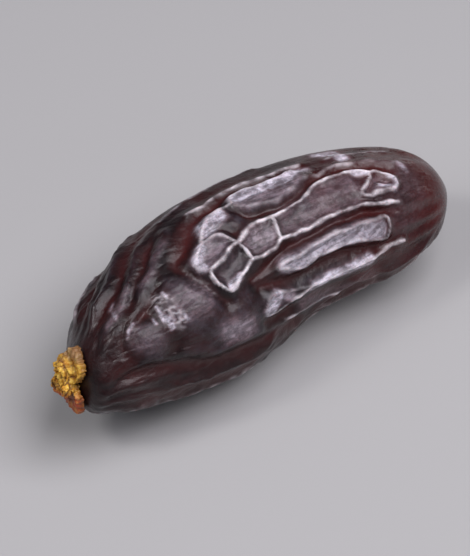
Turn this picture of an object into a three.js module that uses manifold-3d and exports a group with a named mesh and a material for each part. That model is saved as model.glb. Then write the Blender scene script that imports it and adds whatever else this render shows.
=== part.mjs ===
// A ripe rabbi date, picked and lying on its side: the fruit, and the dry cap that it hung by.
// Millimetres, +Z up. +X runs from the stem end to the tip, and the fruit bends round its -Y side.
// A place on the skin is given as how far along it is from the stem end, in millimetres, and how
// far around it is from the top towards -Y, in degrees.
import * as THREE from "three";
import { mergeVertices } from "three/addons/utils/BufferGeometryUtils.js";
import Module from "manifold-3d";

// Driving dimensions of the fruit
const FRUIT_LENGTH = 43;
const STEM_RADIUS = 9.55; // the stem half is the thick one
const TIP_RADIUS = 8.65;
const THINNING = [0.25, 0.65]; // between which shares of the length it thins
const STEM_BLUNTNESS = 0.92; // 1 is an ellipse, and lower is blunter
const TIP_BLUNTNESS = 0.78;
const BEND = 3.0; // how far the middle stands out from the line between the ends
const TIP_DROP = 0.2; // how much lower the tip's middle lies than the stem end's

// The stem end is cut obliquely: how far it looks aside and upwards, in degrees, how far it stands
// out and up, and the shares of the length over which its sections and their middles come back
const STEM_TURN = { yaw: -24, rise: 14, out: 1.9, lift: 0.7, reach: 0.16, middleReach: 0.05 };
const HEIGHT_SHARE = 0.96; // a cross-section's height over its width
const DISH_DEPTH = 0.5; // the hollow at the stem end that the cap sits in
const DISH_RADIUS = 2.6;
const NUB_HEIGHT = 0.4; // the small point at the tip
const NUB_RADIUS = 1.5;

// Where the fruit's middle stands, so that the part is centred over the origin and rests on z = 0
const MIDDLE = new THREE.Vector3(1.636, -2.855, 8.68);

// A broad hollow in the side that the fruit bends round: how deep, where, and how far it reaches
const HOLLOW = { depth: 1.5, share: 0.62, reach: 0.17, around: 112, spread: 46 };

// Driving dimensions of the raised net
const RIDGE_WIDTH = 0.45;
const RIDGE_ROUNDING = 0.3; // how far a ridge's top is rounded
const BED_DEPTH = 0.22; // how far the skin sinks round the ridges
const BED_WIDTH = 1.7;
const RELIEF_FADE_STEM = [0.8, 3.6]; // the relief rises over these millimetres from the stem end
const RELIEF_FADE_TIP = [0.6, 3.2]; // and over these from the tip
const PATH_STEPS = 3; // how many stretches round off each span of a path

// Small folds that run out from each end: how high, how many, how uneven, how much they turn in a
// millimetre, and where they fade out
const STEM_PUCKER = { height: 0.16, waves: 15, uneven: 2, phase: 1, turn: 0.25, fadeOut: [2, 10] };
const TIP_PUCKER = { height: 0.13, waves: 13, uneven: 2, phase: 2.6, turn: 0.25, fadeOut: [3, 13] };

// Broad waves round the cross-section: how many, how high, how much they turn towards the tip, and
// where they start
const SWELLS = [
  { waves: 2, height: 0.2, turn: 0.5, start: 0.6 },
  { waves: 3, height: 0.17, turn: -0.4, start: 1.9 },
  { waves: 5, height: 0.12, turn: 0.7, start: 4.1 },
];
const SWELL_FADE = 0.12; // the share of the length over which they die away at each end

const ridge = (height, ...path) => ({ height, path });
const fold = (height, flat, width, ...path) => ({ height, flat, width, path });

// The net's ridges on the side that shows best: how high each is, and where it runs
const NET = [
  ridge(0.6, [13.2, 24], [15, 22], [16.7, 20], [17.5, 18.5], [18.8, 15], [20.4, 13], [22.4, 13.5]),
  ridge(0.6, [22.4, 13.5], [24.4, 13], [26.2, 11], [28.5, 6], [30.3, 3], [32.9, 1.5], [34.4, 8]),
  ridge(0.6, [13.2, 24], [13, 28], [13.1, 33], [13.9, 39.5], [15, 38.5], [16.4, 34], [17.8, 31]),
  ridge(0.6, [17.8, 31], [19.5, 33], [21, 32], [22, 29]),
  ridge(
    0.58, [22, 29], [23.9, 30], [26.2, 30], [28.3, 28], [31.3, 29], [33.5, 31], [35.2, 34], [36.2, 37],
  ),
  ridge(0.52, [17.5, 18.5], [17.9, 24], [17.8, 31]),
  ridge(0.52, [22.4, 13.5], [22.2, 21], [22, 29]),
  ridge(
    0.5, [34.4, 8], [34.4, 12], [33.8, 15.5], [33, 19], [32.9, 23], [33.8, 25], [35.2, 25.2],
    [36.3, 25.6], [36.9, 21.5], [36.9, 16], [36.6, 10.5], [35.9, 7], [35.1, 6.2], [34.4, 8],
  ),
  ridge(
    0.48, [13.2, 24], [12.5, 20], [12.4, 15], [13.4, 10], [14.8, 7], [16, 9.5], [17.1, 15.5],
    [17.5, 18.5],
  ),
  ridge(0.38, [14.4, 7], [15, 3], [15.9, -2], [17, -5.5], [18.8, -7.5], [19.9, -8]),
  ridge(0.42, [20.1, -8], [20.3, -13], [21.4, -14.5], [23.2, -11.5], [25.5, -12], [27.5, -15]),
  ridge(0.34, [20.1, -8], [20.4, -4], [21.4, 1], [23.2, 4.5], [25, 3.5], [27, -1], [29.2, -5]),
  ridge(0.26, [29.2, -5], [31.2, -8], [33, -9], [34.8, -7], [36.6, -4], [38, 1]),
  ridge(0.36, [16, -20], [18.3, -21.5], [21.5, -23], [25.6, -21.5], [29, -23]),
  ridge(0.26, [14, -32], [18.2, -38], [21.8, -45], [25.5, -47]),
  ridge(0.24, [31.4, -20], [33.4, -22], [35.4, -21], [37.8, -25]),
  ridge(
    0.44, [20.2, 46], [20.8, 43], [22.8, 42.5], [25.2, 41], [27.2, 39], [29.2, 40.5], [31.9, 42],
    [34.5, 43.5],
  ),
  ridge(
    0.44, [20.2, 46], [21.6, 48.5], [23.4, 51.5], [25.3, 49], [27.7, 50], [30, 50.5], [31.9, 56],
    [34.1, 63.5],
  ),
  ridge(0.4, [34.5, 43.5], [34.8, 50], [34.6, 57], [34.1, 63.5]),
  ridge(
    0.5, [20.4, 69.5], [22, 70], [23.6, 68.5], [26.4, 71], [28.7, 72], [31, 73], [33.5, 74.5], [36, 73],
  ),
  ridge(0.36, [17, 67.5], [17.4, 62], [18.3, 57.5], [19.6, 59], [21.1, 63], [22.6, 66.5], [23.6, 68.5]),
  ridge(0.34, [17, 67.5], [17.6, 72], [19, 73], [20.4, 69.5]),
  ridge(0.32, [19.4, 84], [22.5, 90], [26, 97], [29.5, 103], [33, 106]),
];

// Broader folds, which add to each other: how high each is, how far its top stays flat, how wide
// its side is, and where it runs. A hollow has a height under 0.
const FOLDS = [
  fold(0.7, 0, 2.7, [9, 31], [10.2, 33]),
  fold(0.42, 0, 2, [5.2, 38], [5.9, 44]),
  fold(0.45, 0, 2.4, [11.5, 55], [14.5, 60]),
  fold(0.28, 0, 0.8, [7.9, 66], [9.9, 74], [11.6, 76], [13.6, 77], [16, 79]),
  fold(0.38, 0.7, 0.6, [21.6, 45.5], [24, 46.5], [27.4, 44.5], [31, 47], [33.3, 52]),
  fold(0.4, 0.8, 1.1, [22, -6], [24.5, -4], [27, -8]),
  fold(0.36, 0.9, 0.9, [16.5, 2], [18.6, -1]),
  fold(0.32, 0.8, 0.7, [13.9, 15], [15.8, 14]),
  fold(0.3, 0.7, 0.7, [18.2, 64], [19.2, 67]),
  fold(0.3, 1, 1, [22.5, 74], [26, 76], [31, 78]),
  fold(0.2, 0, 0.6, [26.2, 17], [29.8, 14.5], [32.2, 11]),
  fold(-0.2, 0, 0.35, [33.8, 20], [34.5, 15], [35.3, 13.5], [36, 16.5]),
  fold(0.2, 0, 0.3, [34.6, 19.5], [35.3, 20.5], [36.1, 22.5]),
  fold(
    -0.5, 0, 0.8, [13.3, 47], [12.5, 40], [12.1, 31], [11.7, 22], [11.1, 13], [11.4, 6], [13.3, -1],
    [15.4, -10], [18, -17],
  ),
  fold(-0.34, 0, 0.5, [15, 4.5], [16.2, 4.5], [17.6, 9], [18.2, 12.5]),
  fold(-0.42, 0, 0.6, [19.3, -7], [19.7, -1], [20.9, 6], [23, 9], [25.3, 7], [27.5, 2], [29.6, -4]),
  fold(-0.4, 0, 0.6, [18.6, -13], [20, -18.5], [23, -17], [26, -17], [28.8, -20]),
  fold(-0.32, 0, 0.8, [6, 23], [6.9, 31], [7.3, 40], [7.4, 50], [7.2, 60]),
  fold(-0.2, 0, 0.6, [4.3, 21], [3.7, 30], [3.8, 44], [4.4, 56]),
  fold(
    -0.42, 0, 0.6, [17, 41], [19, 40.5], [22.4, 36.5], [27.1, 34], [28.8, 33], [31, 35], [33.3, 37],
    [36, 42],
  ),
  fold(-0.42, 0, 0.7, [17.4, 49], [20.5, 54], [23.4, 57], [27.5, 58], [29.7, 61], [32.3, 68], [34.6, 74]),
  fold(-0.3, 0, 0.6, [31, -1.5], [33, -3.5], [35, 1], [36.8, 7]),
  fold(-0.22, 0, 1, [19, -30], [22, -34], [25, -34]),
  fold(
    -0.4, 0, 0.9, [2.8, 62], [5.2, 69], [8, 77], [9.7, 84], [12.1, 87], [15, 88], [18.1, 91], [21.5, 98],
  ),
  fold(-0.36, 0, 0.8, [17, 76], [19.6, 78], [22.6, 80], [26, 84], [29.5, 88], [33, 91]),
  fold(-0.28, 0, 0.8, [2.2, -5], [4.2, -10], [6.2, -15], [8.8, -27], [11.7, -38], [15, -46]),
  fold(-0.28, 0, 0.9, [2, -38], [4.6, -50], [9, -62], [14, -68], [20, -66]),
  fold(-0.28, 0, 0.6, [5.4, 9], [6.8, 0], [8.6, -8], [11, -19]),
  fold(-0.34, 0, 0.6, [5.4, 25], [6.4, 21], [7.5, 15], [8.4, 10]),
  fold(0.3, 0, 0.7, [2.4, 10], [3.6, 8], [4.8, 4], [6.2, -3], [8, -14], [10.4, -27]),
  fold(0.3, 0, 0.6, [6.6, 9], [7.8, 2], [9.6, -4], [11.4, -10], [13.2, -18]),
  fold(0.3, 0, 0.7, [2.4, -16], [3.6, -22], [5.4, -26], [7.6, -34], [10.1, -47], [12, -56]),
  fold(0.22, 0, 0.5, [1.8, 74], [3.4, 65], [5, 59], [7, 64]),
  fold(-0.45, 0, 1.4, [6, 106], [12, 114], [18, 112], [25, 114], [33, 108]),
  fold(-0.5, 0, 1.5, [8, -95], [14, -88], [22, -92], [30, -84], [35, -88]),
  fold(-0.55, 0, 1.6, [10, -128], [17, -122], [26, -127], [34, -118]),
  fold(-0.4, 0, 1.4, [12, 150], [20, 156], [30, 149]),
];

// On the other side the net runs between facets that stand in rows, each a little out of place
const BACK_ROWS = { first: 92, last: 308, count: 11 };
const BACK_FACETS_IN_A_ROW = 4;
const BACK_ENDS = [6, 38];
const BACK_JITTER_ALONG = 3.4;
const BACK_JITTER_AROUND = 6.5;
const BACK_STRETCH = 3; // facets are longer along the fruit than around it
const BACK_HEIGHT = 0.45;
const BACK_EDGES = { start: 84, rise: 12, fall: 302 }; // where its net takes over from the other
const BACK_SEED = 4607;

// Driving dimensions of the cap
const CAP_GAP = 0.3; // between the cap and the skin under it
const CAP_LONG_WAY = 17; // degrees, where the cap is longest
const CAP_NARROWING = 0.32; // how much narrower it is across that, as a share
const PETALS = 3;
const PETAL_ROOT = 1.2; // from the cap's axis
const PETAL_REACH = 3.5;
const PETAL_THICKNESS = 0.6;
const PETAL_TURN = 100; // degrees, where the first petal's middle points
const PETAL_HALF_SPREAD = 52; // degrees
const PETAL_LAP = 0.4; // how much higher one side of a petal lies
const PETAL_CURL = 0.15;
const PETAL_CORNER = 0.36; // the share of its reach by which a petal falls short at its sides
const PETAL_FRAY = 0.035; // how uneven its edge is, as a share of its reach
const PETAL_FRAYS = 7;
const CUP_RADIUS = 2.1;
const CUP_HEIGHT = 1.5;
const CUP_TURN = 17; // degrees, where its first lobe points
const CUP_LOBES = 3;
const CUP_LOBE = 0.25; // how much they stand out
const SCAR_RADIUS = 0.8; // where the strand came off
const SCAR_HEIGHT = 1.35;

// How finely the surfaces are divided
const FRUIT_RINGS = 62;
const FRUIT_SIDES = 94;
const RING_SPREAD = 0.045; // how many of the rings move from the ends towards the middle
const SIDE_CROWDING = 0.3; // how many of the sides move to the one that shows best
const CROWDED_SIDE = 22; // degrees
const PETAL_ROWS = 7;
const PETAL_COLUMNS = 12;
const CUP_SIDES = 36;

const COLOURS = { fruit: 0x3a1518, cap: 0xb9812f };

const radians = THREE.MathUtils.degToRad;
const turnBetween = (a, b) => Math.atan2(Math.sin(a - b), Math.cos(a - b));
const mix = THREE.MathUtils.lerp;
const fade = THREE.MathUtils.smoothstep;

// Repeatable random numbers from 0 to 1
function seededRandom(seed) {
  const multiplier = 16807;
  const modulus = 2147483647;
  let state = seed;
  return () => {
    state = (state * multiplier) % modulus;
    return state / modulus;
  };
}

// The form of the fruit: a station runs from 0 at the stem end to pi at the tip, and an angle from
// the top towards -Y

const shareAt = (station) => (1 - Math.cos(station)) / 2;
const stationAt = (along) => Math.acos(1 - (2 * along) / FRUIT_LENGTH);

function radiusAt(station) {
  const share = shareAt(station);
  const girth = mix(STEM_RADIUS, TIP_RADIUS, fade(share, ...THINNING));
  return girth * Math.sin(station) ** mix(STEM_BLUNTNESS, TIP_BLUNTNESS, share);
}

// How much of the stem end's turn is left at a share of the length, from 1 to 0
const stemShareAt = (share, reach) => Math.exp(-((share / reach) ** 3));

// The directions of a cross-section at a share of the length: along the fruit, to its side and up
function directionsAt(share) {
  const turned = stemShareAt(share, STEM_TURN.reach);
  const bent = Math.atan((BEND * (4 - 8 * share)) / FRUIT_LENGTH);
  const heading = bent + turned * radians(STEM_TURN.yaw);
  const dip = turned * radians(STEM_TURN.rise);
  const forward = new THREE.Vector3(Math.cos(heading), Math.sin(heading), 0);
  const side = new THREE.Vector3(-Math.sin(heading), Math.cos(heading), 0);
  forward.applyAxisAngle(side, dip);
  return { forward, side, up: forward.clone().cross(side) };
}

function axisPoint(share) {
  const along = FRUIT_LENGTH * share;
  const aside = BEND * (1 - (2 * share - 1) ** 2);
  const start = new THREE.Vector3(1, (4 * BEND) / FRUIT_LENGTH, -TIP_DROP / FRUIT_LENGTH);
  const { forward } = directionsAt(0);
  return new THREE.Vector3(along - FRUIT_LENGTH / 2, aside, TIP_DROP * (0.5 - share))
    .addScaledVector(forward.clone().sub(start), along * stemShareAt(share, STEM_TURN.middleReach))
    .addScaledVector(forward, -STEM_TURN.out * stemShareAt(share, STEM_TURN.reach))
    .add(new THREE.Vector3(0, 0, STEM_TURN.lift * stemShareAt(share, STEM_TURN.reach)))
    .add(MIDDLE);
}

function swellAt(station, around) {
  const share = shareAt(station);
  let height = 0;
  for (const swell of SWELLS) {
    height += swell.height * Math.sin(swell.waves * around + swell.turn * station + swell.start);
  }
  const along = (share - HOLLOW.share) / HOLLOW.reach;
  const aside = turnBetween(around, radians(HOLLOW.around)) / radians(HOLLOW.spread);
  const hollow = HOLLOW.depth * Math.exp(-(along ** 2) - aside ** 2);
  return height * fade(share, 0, SWELL_FADE) * fade(1 - share, 0, SWELL_FADE) - hollow;
}

// The skin before it wrinkled
function plainSkin(station, around) {
  const share = shareAt(station);
  const radius = radiusAt(station);
  const wide = radius + swellAt(station, around);
  const dish = DISH_DEPTH * Math.exp(-((radius / DISH_RADIUS) ** 2)) * (1 - share);
  const nub = NUB_HEIGHT * Math.exp(-((radius / NUB_RADIUS) ** 2)) * share;
  const { forward, side, up } = directionsAt(share);
  return axisPoint(share)
    .addScaledVector(forward, dish + nub)
    .addScaledVector(side, -Math.sin(around) * wide)
    .addScaledVector(up, Math.cos(around) * wide * HEIGHT_SHARE);
}

function plainNormal(station, around) {
  const step = 0.01;
  const here = THREE.MathUtils.clamp(station, 2 * step, Math.PI - 2 * step);
  const forward = plainSkin(here + step, around).sub(plainSkin(here - step, around));
  const sideways = plainSkin(here, around + step).sub(plainSkin(here, around - step));
  return sideways.cross(forward).normalize();
}

// The wrinkles: a place is its reach over the skin laid out flat, in millimetres, and its angle
// around

const layOut = (station) => (station * FRUIT_LENGTH) / 2;

function placeOnSkin([along, around]) {
  return { reach: layOut(stationAt(along)), around: radians(around) };
}

function backFacets() {
  const random = seededRandom(BACK_SEED);
  const places = [];
  for (let row = 0; row < BACK_ROWS.count; row += 1) {
    const around = mix(BACK_ROWS.first, BACK_ROWS.last, row / (BACK_ROWS.count - 1));
    for (let i = 0; i < BACK_FACETS_IN_A_ROW; i += 1) {
      const step = (i + (row % 2) / 2) / (BACK_FACETS_IN_A_ROW - 0.5);
      const along = mix(...BACK_ENDS, step) + BACK_JITTER_ALONG * (2 * random() - 1);
      const turn = BACK_JITTER_AROUND * (2 * random() - 1);
      places.push([along, around + turn]);
    }
  }
  return places.map(placeOnSkin);
}

// A path with its corners rounded off by a curve through its places
function route(path) {
  const places = path.map(([along, around]) => new THREE.Vector2(along, around));
  const curve = new THREE.SplineCurve(places);
  return curve.getPoints(PATH_STEPS * (path.length - 1)).map(({ x, y }) => placeOnSkin([x, y]));
}

const facets = backFacets();
const net = NET.map((line) => ({ ...line, path: route(line.path) }));
const folds = FOLDS.map((line) => ({ ...line, path: route(line.path) }));

// A place against each straight span of a path: how far past the span's start it is and how far
// aside, and how long the span is
function spansOf(reach, around, radius, path) {
  return path.slice(1).map((end, i) => {
    const start = path[i];
    const runAlong = end.reach - start.reach;
    const runAround = radius * turnBetween(end.around, start.around);
    const awayAlong = reach - start.reach;
    const awayAround = radius * turnBetween(around, start.around);
    const length = Math.hypot(runAlong, runAround);
    const past = (awayAlong * runAlong + awayAround * runAround) / length;
    const aside = (awayAlong * runAround - awayAround * runAlong) / length;
    return { past, aside, length };
  });
}

function distanceTo(spans) {
  const distances = spans.map(({ past, aside, length }) =>
    Math.hypot(past - THREE.MathUtils.clamp(past, 0, length), aside),
  );
  return Math.min(...distances);
}

// How much a line's soft surroundings reach a place: about 1 on the line, with no crease where it
// bends
function bedAlong(spans) {
  const run = BED_WIDTH / 1.2; // how far a span's end reaches along it
  let share = 0;
  for (const { past, aside, length } of spans) {
    const shown = Math.tanh(past / run) + Math.tanh((length - past) / run);
    share += (Math.exp(-((aside / BED_WIDTH) ** 2)) * shown) / 2;
  }
  return share;
}

function foldHeight(reach, around, radius) {
  let height = 0;
  for (const line of folds) {
    const away = Math.max(0, distanceTo(spansOf(reach, around, radius, line.path)) - line.flat);
    height += line.height * Math.exp(-((away / line.width) ** 2));
  }
  return height;
}

// How much of the other side's net shows at an angle, from 0 to 1
function backShare(around) {
  const degrees = (THREE.MathUtils.radToDeg(around) + 720) % 360;
  const { start, rise, fall } = BACK_EDGES;
  return fade(degrees, start, start + rise) * (1 - fade(degrees, fall - rise, fall));
}

// Where the other side's net runs: ridges stand where two facets are equally near
function distanceToBackNet(reach, around, radius) {
  const distances = facets.map((facet) =>
    Math.hypot((reach - facet.reach) / BACK_STRETCH, radius * turnBetween(around, facet.around)),
  );
  const [nearest, second] = distances.sort((a, b) => a - b);
  return (second - nearest) / 2;
}

// A ridge's height at a distance from its crest: 1 on it, with hollow flanks
function ridgeProfile(away) {
  return Math.exp((RIDGE_ROUNDING - Math.hypot(away, RIDGE_ROUNDING)) / RIDGE_WIDTH);
}

// The ridges of the net, over the bed that the skin sinks to between them
function netHeight(reach, around, radius) {
  const blend = 6; // how sharply two ridges meet
  const fromBack = distanceToBackNet(reach, around, radius);
  const back = backShare(around);
  let total = (back * BACK_HEIGHT * ridgeProfile(fromBack)) ** blend;
  let bed = back * Math.exp(-((fromBack / BED_WIDTH) ** 2));
  for (const line of net) {
    const spans = spansOf(reach, around, radius, line.path);
    total += (line.height * ridgeProfile(distanceTo(spans))) ** blend;
    bed += bedAlong(spans);
  }
  return total ** (1 / blend) - BED_DEPTH * (1 - Math.exp(-bed));
}

function puckerHeight(pucker, fromEnd, around) {
  const drift = pucker.uneven * Math.sin(3 * around + pucker.phase) + pucker.turn * fromEnd;
  const wave = Math.sin(pucker.waves * around + drift);
  return pucker.height * wave * (1 - fade(fromEnd, ...pucker.fadeOut));
}

function skinPoint(station, around) {
  const radius = radiusAt(station);
  const fromStem = FRUIT_LENGTH * shareAt(station);
  const fromTip = FRUIT_LENGTH - fromStem;
  const reach = layOut(station);
  const height =
    foldHeight(reach, around, radius) +
    netHeight(reach, around, radius) +
    puckerHeight(STEM_PUCKER, fromStem, around) +
    puckerHeight(TIP_PUCKER, fromTip, around);
  const relief = height * fade(fromStem, ...RELIEF_FADE_STEM) * fade(fromTip, ...RELIEF_FADE_TIP);
  return plainSkin(station, around).addScaledVector(plainNormal(station, around), relief);
}

// Closed surfaces made of rows of points

const halfway = (a, b) => a.clone().add(b).multiplyScalar(0.5);

// A closed surface through rings of points, with a point at each end. pointAt takes a ring and a
// side, also in between, and each cell is split along the diagonal that lies nearer to its middle.
function ringsGeometry(rings, sides, firstEnd, lastEnd, pointAt) {
  const points = [firstEnd];
  for (let ring = 0; ring < rings; ring += 1) {
    for (let side = 0; side < sides; side += 1) points.push(pointAt(ring, side));
  }
  points.push(lastEnd);
  const last = points.length - 1;
  const at = (ring, side) => 1 + ring * sides + (side % sides);
  const faces = [];
  for (let side = 0; side < sides; side += 1) {
    faces.push(0, at(0, side + 1), at(0, side));
    faces.push(last, at(rings - 1, side), at(rings - 1, side + 1));
    for (let ring = 1; ring < rings; ring += 1) {
      const [a, b] = [at(ring - 1, side), at(ring - 1, side + 1)];
      const [c, d] = [at(ring, side), at(ring, side + 1)];
      const middle = pointAt(ring - 0.5, side + 0.5);
      const fromFirst = halfway(points[b], points[c]).distanceTo(middle);
      const fromOther = halfway(points[a], points[d]).distanceTo(middle);
      if (fromFirst <= fromOther) faces.push(a, b, c, b, d, c);
      else faces.push(a, b, d, a, d, c);
    }
  }
  return new THREE.BufferGeometry().setFromPoints(points).setIndex(faces);
}

// A closed plate between an under and an upper sheet of rows and columns: pointAt takes a row, a
// column and a sheet, 0 or 1
function plateGeometry(rows, columns, pointAt) {
  const points = [];
  for (const sheet of [0, 1]) {
    for (let row = 0; row <= rows; row += 1) {
      for (let column = 0; column <= columns; column += 1) points.push(pointAt(row, column, sheet));
    }
  }
  const inASheet = (rows + 1) * (columns + 1);
  const under = (row, column) => row * (columns + 1) + column;
  const upper = (row, column) => inASheet + under(row, column);
  const faces = [];
  const quad = (a, b, c, d) => faces.push(a, b, c, a, c, d);
  for (let row = 0; row < rows; row += 1) {
    const next = row + 1;
    for (let column = 0; column < columns; column += 1) {
      const beside = column + 1;
      quad(upper(row, column), upper(next, column), upper(next, beside), upper(row, beside));
      quad(under(row, column), under(row, beside), under(next, beside), under(next, column));
    }
    quad(under(row, 0), under(next, 0), upper(next, 0), upper(row, 0));
    quad(under(next, columns), under(row, columns), upper(row, columns), upper(next, columns));
  }
  for (let column = 0; column < columns; column += 1) {
    const beside = column + 1;
    quad(under(0, beside), under(0, column), upper(0, column), upper(0, beside));
    quad(under(rows, column), under(rows, beside), upper(rows, beside), upper(rows, column));
  }
  return new THREE.BufferGeometry().setFromPoints(points).setIndex(faces);
}

const wasm = await Module();
wasm.setup();

function solidOf(geometry) {
  const merged = mergeVertices(geometry);
  return new wasm.Manifold(
    new wasm.Mesh({
      numProp: 3,
      vertProperties: merged.getAttribute("position").array,
      triVerts: new Uint32Array(merged.index.array),
    }),
  );
}

function meshOf(solid, name, colour, roughness) {
  const { vertProperties, triVerts } = solid.getMesh();
  const geometry = new THREE.BufferGeometry()
    .setAttribute("position", new THREE.BufferAttribute(vertProperties, 3))
    .setIndex(new THREE.BufferAttribute(triVerts, 1));
  geometry.computeVertexNormals();
  const material = new THREE.MeshStandardMaterial({ color: colour, roughness, metalness: 0 });
  const mesh = new THREE.Mesh(geometry, material);
  mesh.name = name;
  return mesh;
}

// Flesh and skin are one body, with a small flat where it rests
function makeFruit() {
  const wrinkled = ringsGeometry(
    FRUIT_RINGS,
    FRUIT_SIDES,
    plainSkin(0, 0),
    plainSkin(Math.PI, 0),
    (ring, side) => {
      const share = (ring + 1) / (FRUIT_RINGS + 1);
      const station = Math.PI * (share + RING_SPREAD * Math.sin(2 * Math.PI * share));
      const turned = (2 * Math.PI * side) / FRUIT_SIDES;
      const around = turned - SIDE_CROWDING * Math.sin(turned - radians(CROWDED_SIDE));
      return skinPoint(station, around);
    },
  );
  const ground = new THREE.BoxGeometry(2 * FRUIT_LENGTH, 2 * FRUIT_LENGTH, FRUIT_LENGTH);
  ground.deleteAttribute("normal").deleteAttribute("uv");
  ground.translate(0, 0, -FRUIT_LENGTH / 2);
  return meshOf(solidOf(wrinkled).subtract(solidOf(ground)), "fruit", COLOURS.fruit, 0.3);
}

// The cap, in its own frame: +Z points away from the fruit, and z = 0 is at the plain skin in the
// middle of the stem end

// How far the fruit's end has fallen away from its middle, at a distance from its axis
function skinDepth(distance) {
  const station = Math.asin((distance / STEM_RADIUS) ** (1 / STEM_BLUNTNESS));
  return FRUIT_LENGTH * shareAt(station) + DISH_DEPTH * Math.exp(-((distance / DISH_RADIUS) ** 2));
}

// The share of its full reach that the cap has at an angle
function capShare(angle) {
  return 1 - CAP_NARROWING * Math.sin(angle - radians(CAP_LONG_WAY)) ** 2;
}

function petalGeometry(number) {
  const middle = (2 * Math.PI * number) / PETALS + radians(PETAL_TURN);
  return plateGeometry(PETAL_ROWS, PETAL_COLUMNS, (row, column, sheet) => {
    const out = row / PETAL_ROWS;
    const across = (2 * column) / PETAL_COLUMNS - 1;
    const frayed = PETAL_FRAY * Math.sin(PETAL_FRAYS * across + 2 * number);
    const angle = middle + across * radians(PETAL_HALF_SPREAD);
    const edge = PETAL_REACH * capShare(angle) * (1 - PETAL_CORNER * across ** 4 + frayed);
    const distance = mix(PETAL_ROOT, edge, out);
    const lapping = (PETAL_LAP * out * (across + 1)) / 2;
    const lift = lapping + PETAL_CURL * out ** 3 + sheet * PETAL_THICKNESS;
    const height = CAP_GAP + lift - skinDepth(distance);
    return new THREE.Vector3(distance * Math.cos(angle), distance * Math.sin(angle), height);
  });
}

// The cup is drawn as a section from its underside over its side and rim to the scar, and it
// stands in three lobes
function cupGeometry() {
  const rootZ = CAP_GAP - skinDepth(0);
  const section = [
    [0.8, rootZ],
    [1.6, rootZ + 0.05],
    [CUP_RADIUS - 0.15, 0.3],
    [CUP_RADIUS, 0.9],
    [CUP_RADIUS - 0.2, CUP_HEIGHT - 0.3],
    [CUP_RADIUS - 0.65, CUP_HEIGHT],
    [CUP_RADIUS - 1.05, CUP_HEIGHT - 0.25],
    [SCAR_RADIUS + 0.15, SCAR_HEIGHT - 0.35],
    [SCAR_RADIUS - 0.15, SCAR_HEIGHT - 0.1],
    [SCAR_RADIUS - 0.5, SCAR_HEIGHT],
  ];
  return ringsGeometry(
    section.length,
    CUP_SIDES,
    new THREE.Vector3(0, 0, rootZ),
    new THREE.Vector3(0, 0, SCAR_HEIGHT - 0.1),
    (ring, side) => {
      const angle = (2 * Math.PI * side) / CUP_SIDES;
      const [before, after] = [section[Math.floor(ring)], section[Math.ceil(ring)]];
      const distance = mix(before[0], after[0], ring % 1);
      const height = mix(before[1], after[1], ring % 1);
      const lobes = CUP_LOBE * Math.cos(CUP_LOBES * (angle - radians(CUP_TURN)));
      const lobed = distance + lobes * fade(distance, 1, CUP_RADIUS - 0.65);
      const out = lobed * capShare(angle);
      const up = height + lobes * fade(distance, 1, CUP_RADIUS - 0.65) * fade(height, 0.3, 0.9);
      return new THREE.Vector3(out * Math.cos(angle), out * Math.sin(angle), up);
    },
  );
}

// The dried petals and the cup over them grew from one root, so they are one solid
function makeCap() {
  let solid = solidOf(cupGeometry());
  for (let number = 0; number < PETALS; number += 1) {
    solid = solid.add(solidOf(petalGeometry(number)));
  }
  const cap = meshOf(solid, "stem_cap", COLOURS.cap, 0.8);
  const outward = directionsAt(0).forward.negate();
  cap.quaternion.setFromUnitVectors(new THREE.Vector3(0, 0, 1), outward);
  cap.position.copy(axisPoint(0));
  return cap;
}

const date = new THREE.Group();
date.name = "date";
date.add(makeFruit(), makeCap());

export default date;
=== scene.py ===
"""A ripe rabbi date lying on its side: the wrinkled fruit, and the dry cap that it hung by.

A place on the skin is given by a station, which runs from 0 at the stem end to pi at the tip, and by an angle
around the fruit, from the top towards -Y. Sizes are in millimetres until a mesh is made.
"""

from __future__ import annotations

import logging
import math
from collections.abc import Callable, Iterable, Iterator, Sequence
from dataclasses import dataclass
from enum import Enum

import bmesh
import bpy
import numpy as np
from mathutils import Matrix, Vector, noise

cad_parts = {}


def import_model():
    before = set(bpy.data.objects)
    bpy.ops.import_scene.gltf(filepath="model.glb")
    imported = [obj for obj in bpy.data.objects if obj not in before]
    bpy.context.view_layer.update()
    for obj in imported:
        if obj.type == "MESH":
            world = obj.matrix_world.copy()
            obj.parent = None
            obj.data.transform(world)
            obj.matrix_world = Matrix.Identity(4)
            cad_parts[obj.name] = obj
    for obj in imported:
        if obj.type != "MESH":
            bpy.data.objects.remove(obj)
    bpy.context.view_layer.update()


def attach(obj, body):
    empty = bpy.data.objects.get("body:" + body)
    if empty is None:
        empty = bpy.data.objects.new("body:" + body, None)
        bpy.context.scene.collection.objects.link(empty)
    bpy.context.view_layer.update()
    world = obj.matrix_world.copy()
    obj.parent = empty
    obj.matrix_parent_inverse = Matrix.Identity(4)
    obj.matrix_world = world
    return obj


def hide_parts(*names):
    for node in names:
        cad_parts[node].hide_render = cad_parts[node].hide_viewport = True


LOG = logging.getLogger("rabbi_date")

MM = 0.001  # one millimetre, in the scene's metres
ONE_BODY = "root"

Place = tuple[float, float]  # how far along the skin, and how far around it
Span = tuple[float, float]  # where something starts, and where it ends
Point = tuple[float, float, float]
Colour = tuple[float, float, float]
Faces = list[tuple[int, ...]]
Socket = bpy.types.NodeSocket


class Paint(Enum):
    """A value that a mesh stores at each of its points, for its finish to read."""

    TOWARD_TIP = "toward_tip"
    PALE_CREST_AND_HIGHLIGHT = "crest"
    CHANNEL = "channel"
    RAISED = "raised"
    DUST_AND_HIGHLIGHT = "dusty"
    SHADED_HOLLOW = "hollow"
    LOWER_TIP = "lower_tip"
    UPPER_LOBE = "upper_lobe"


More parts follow.
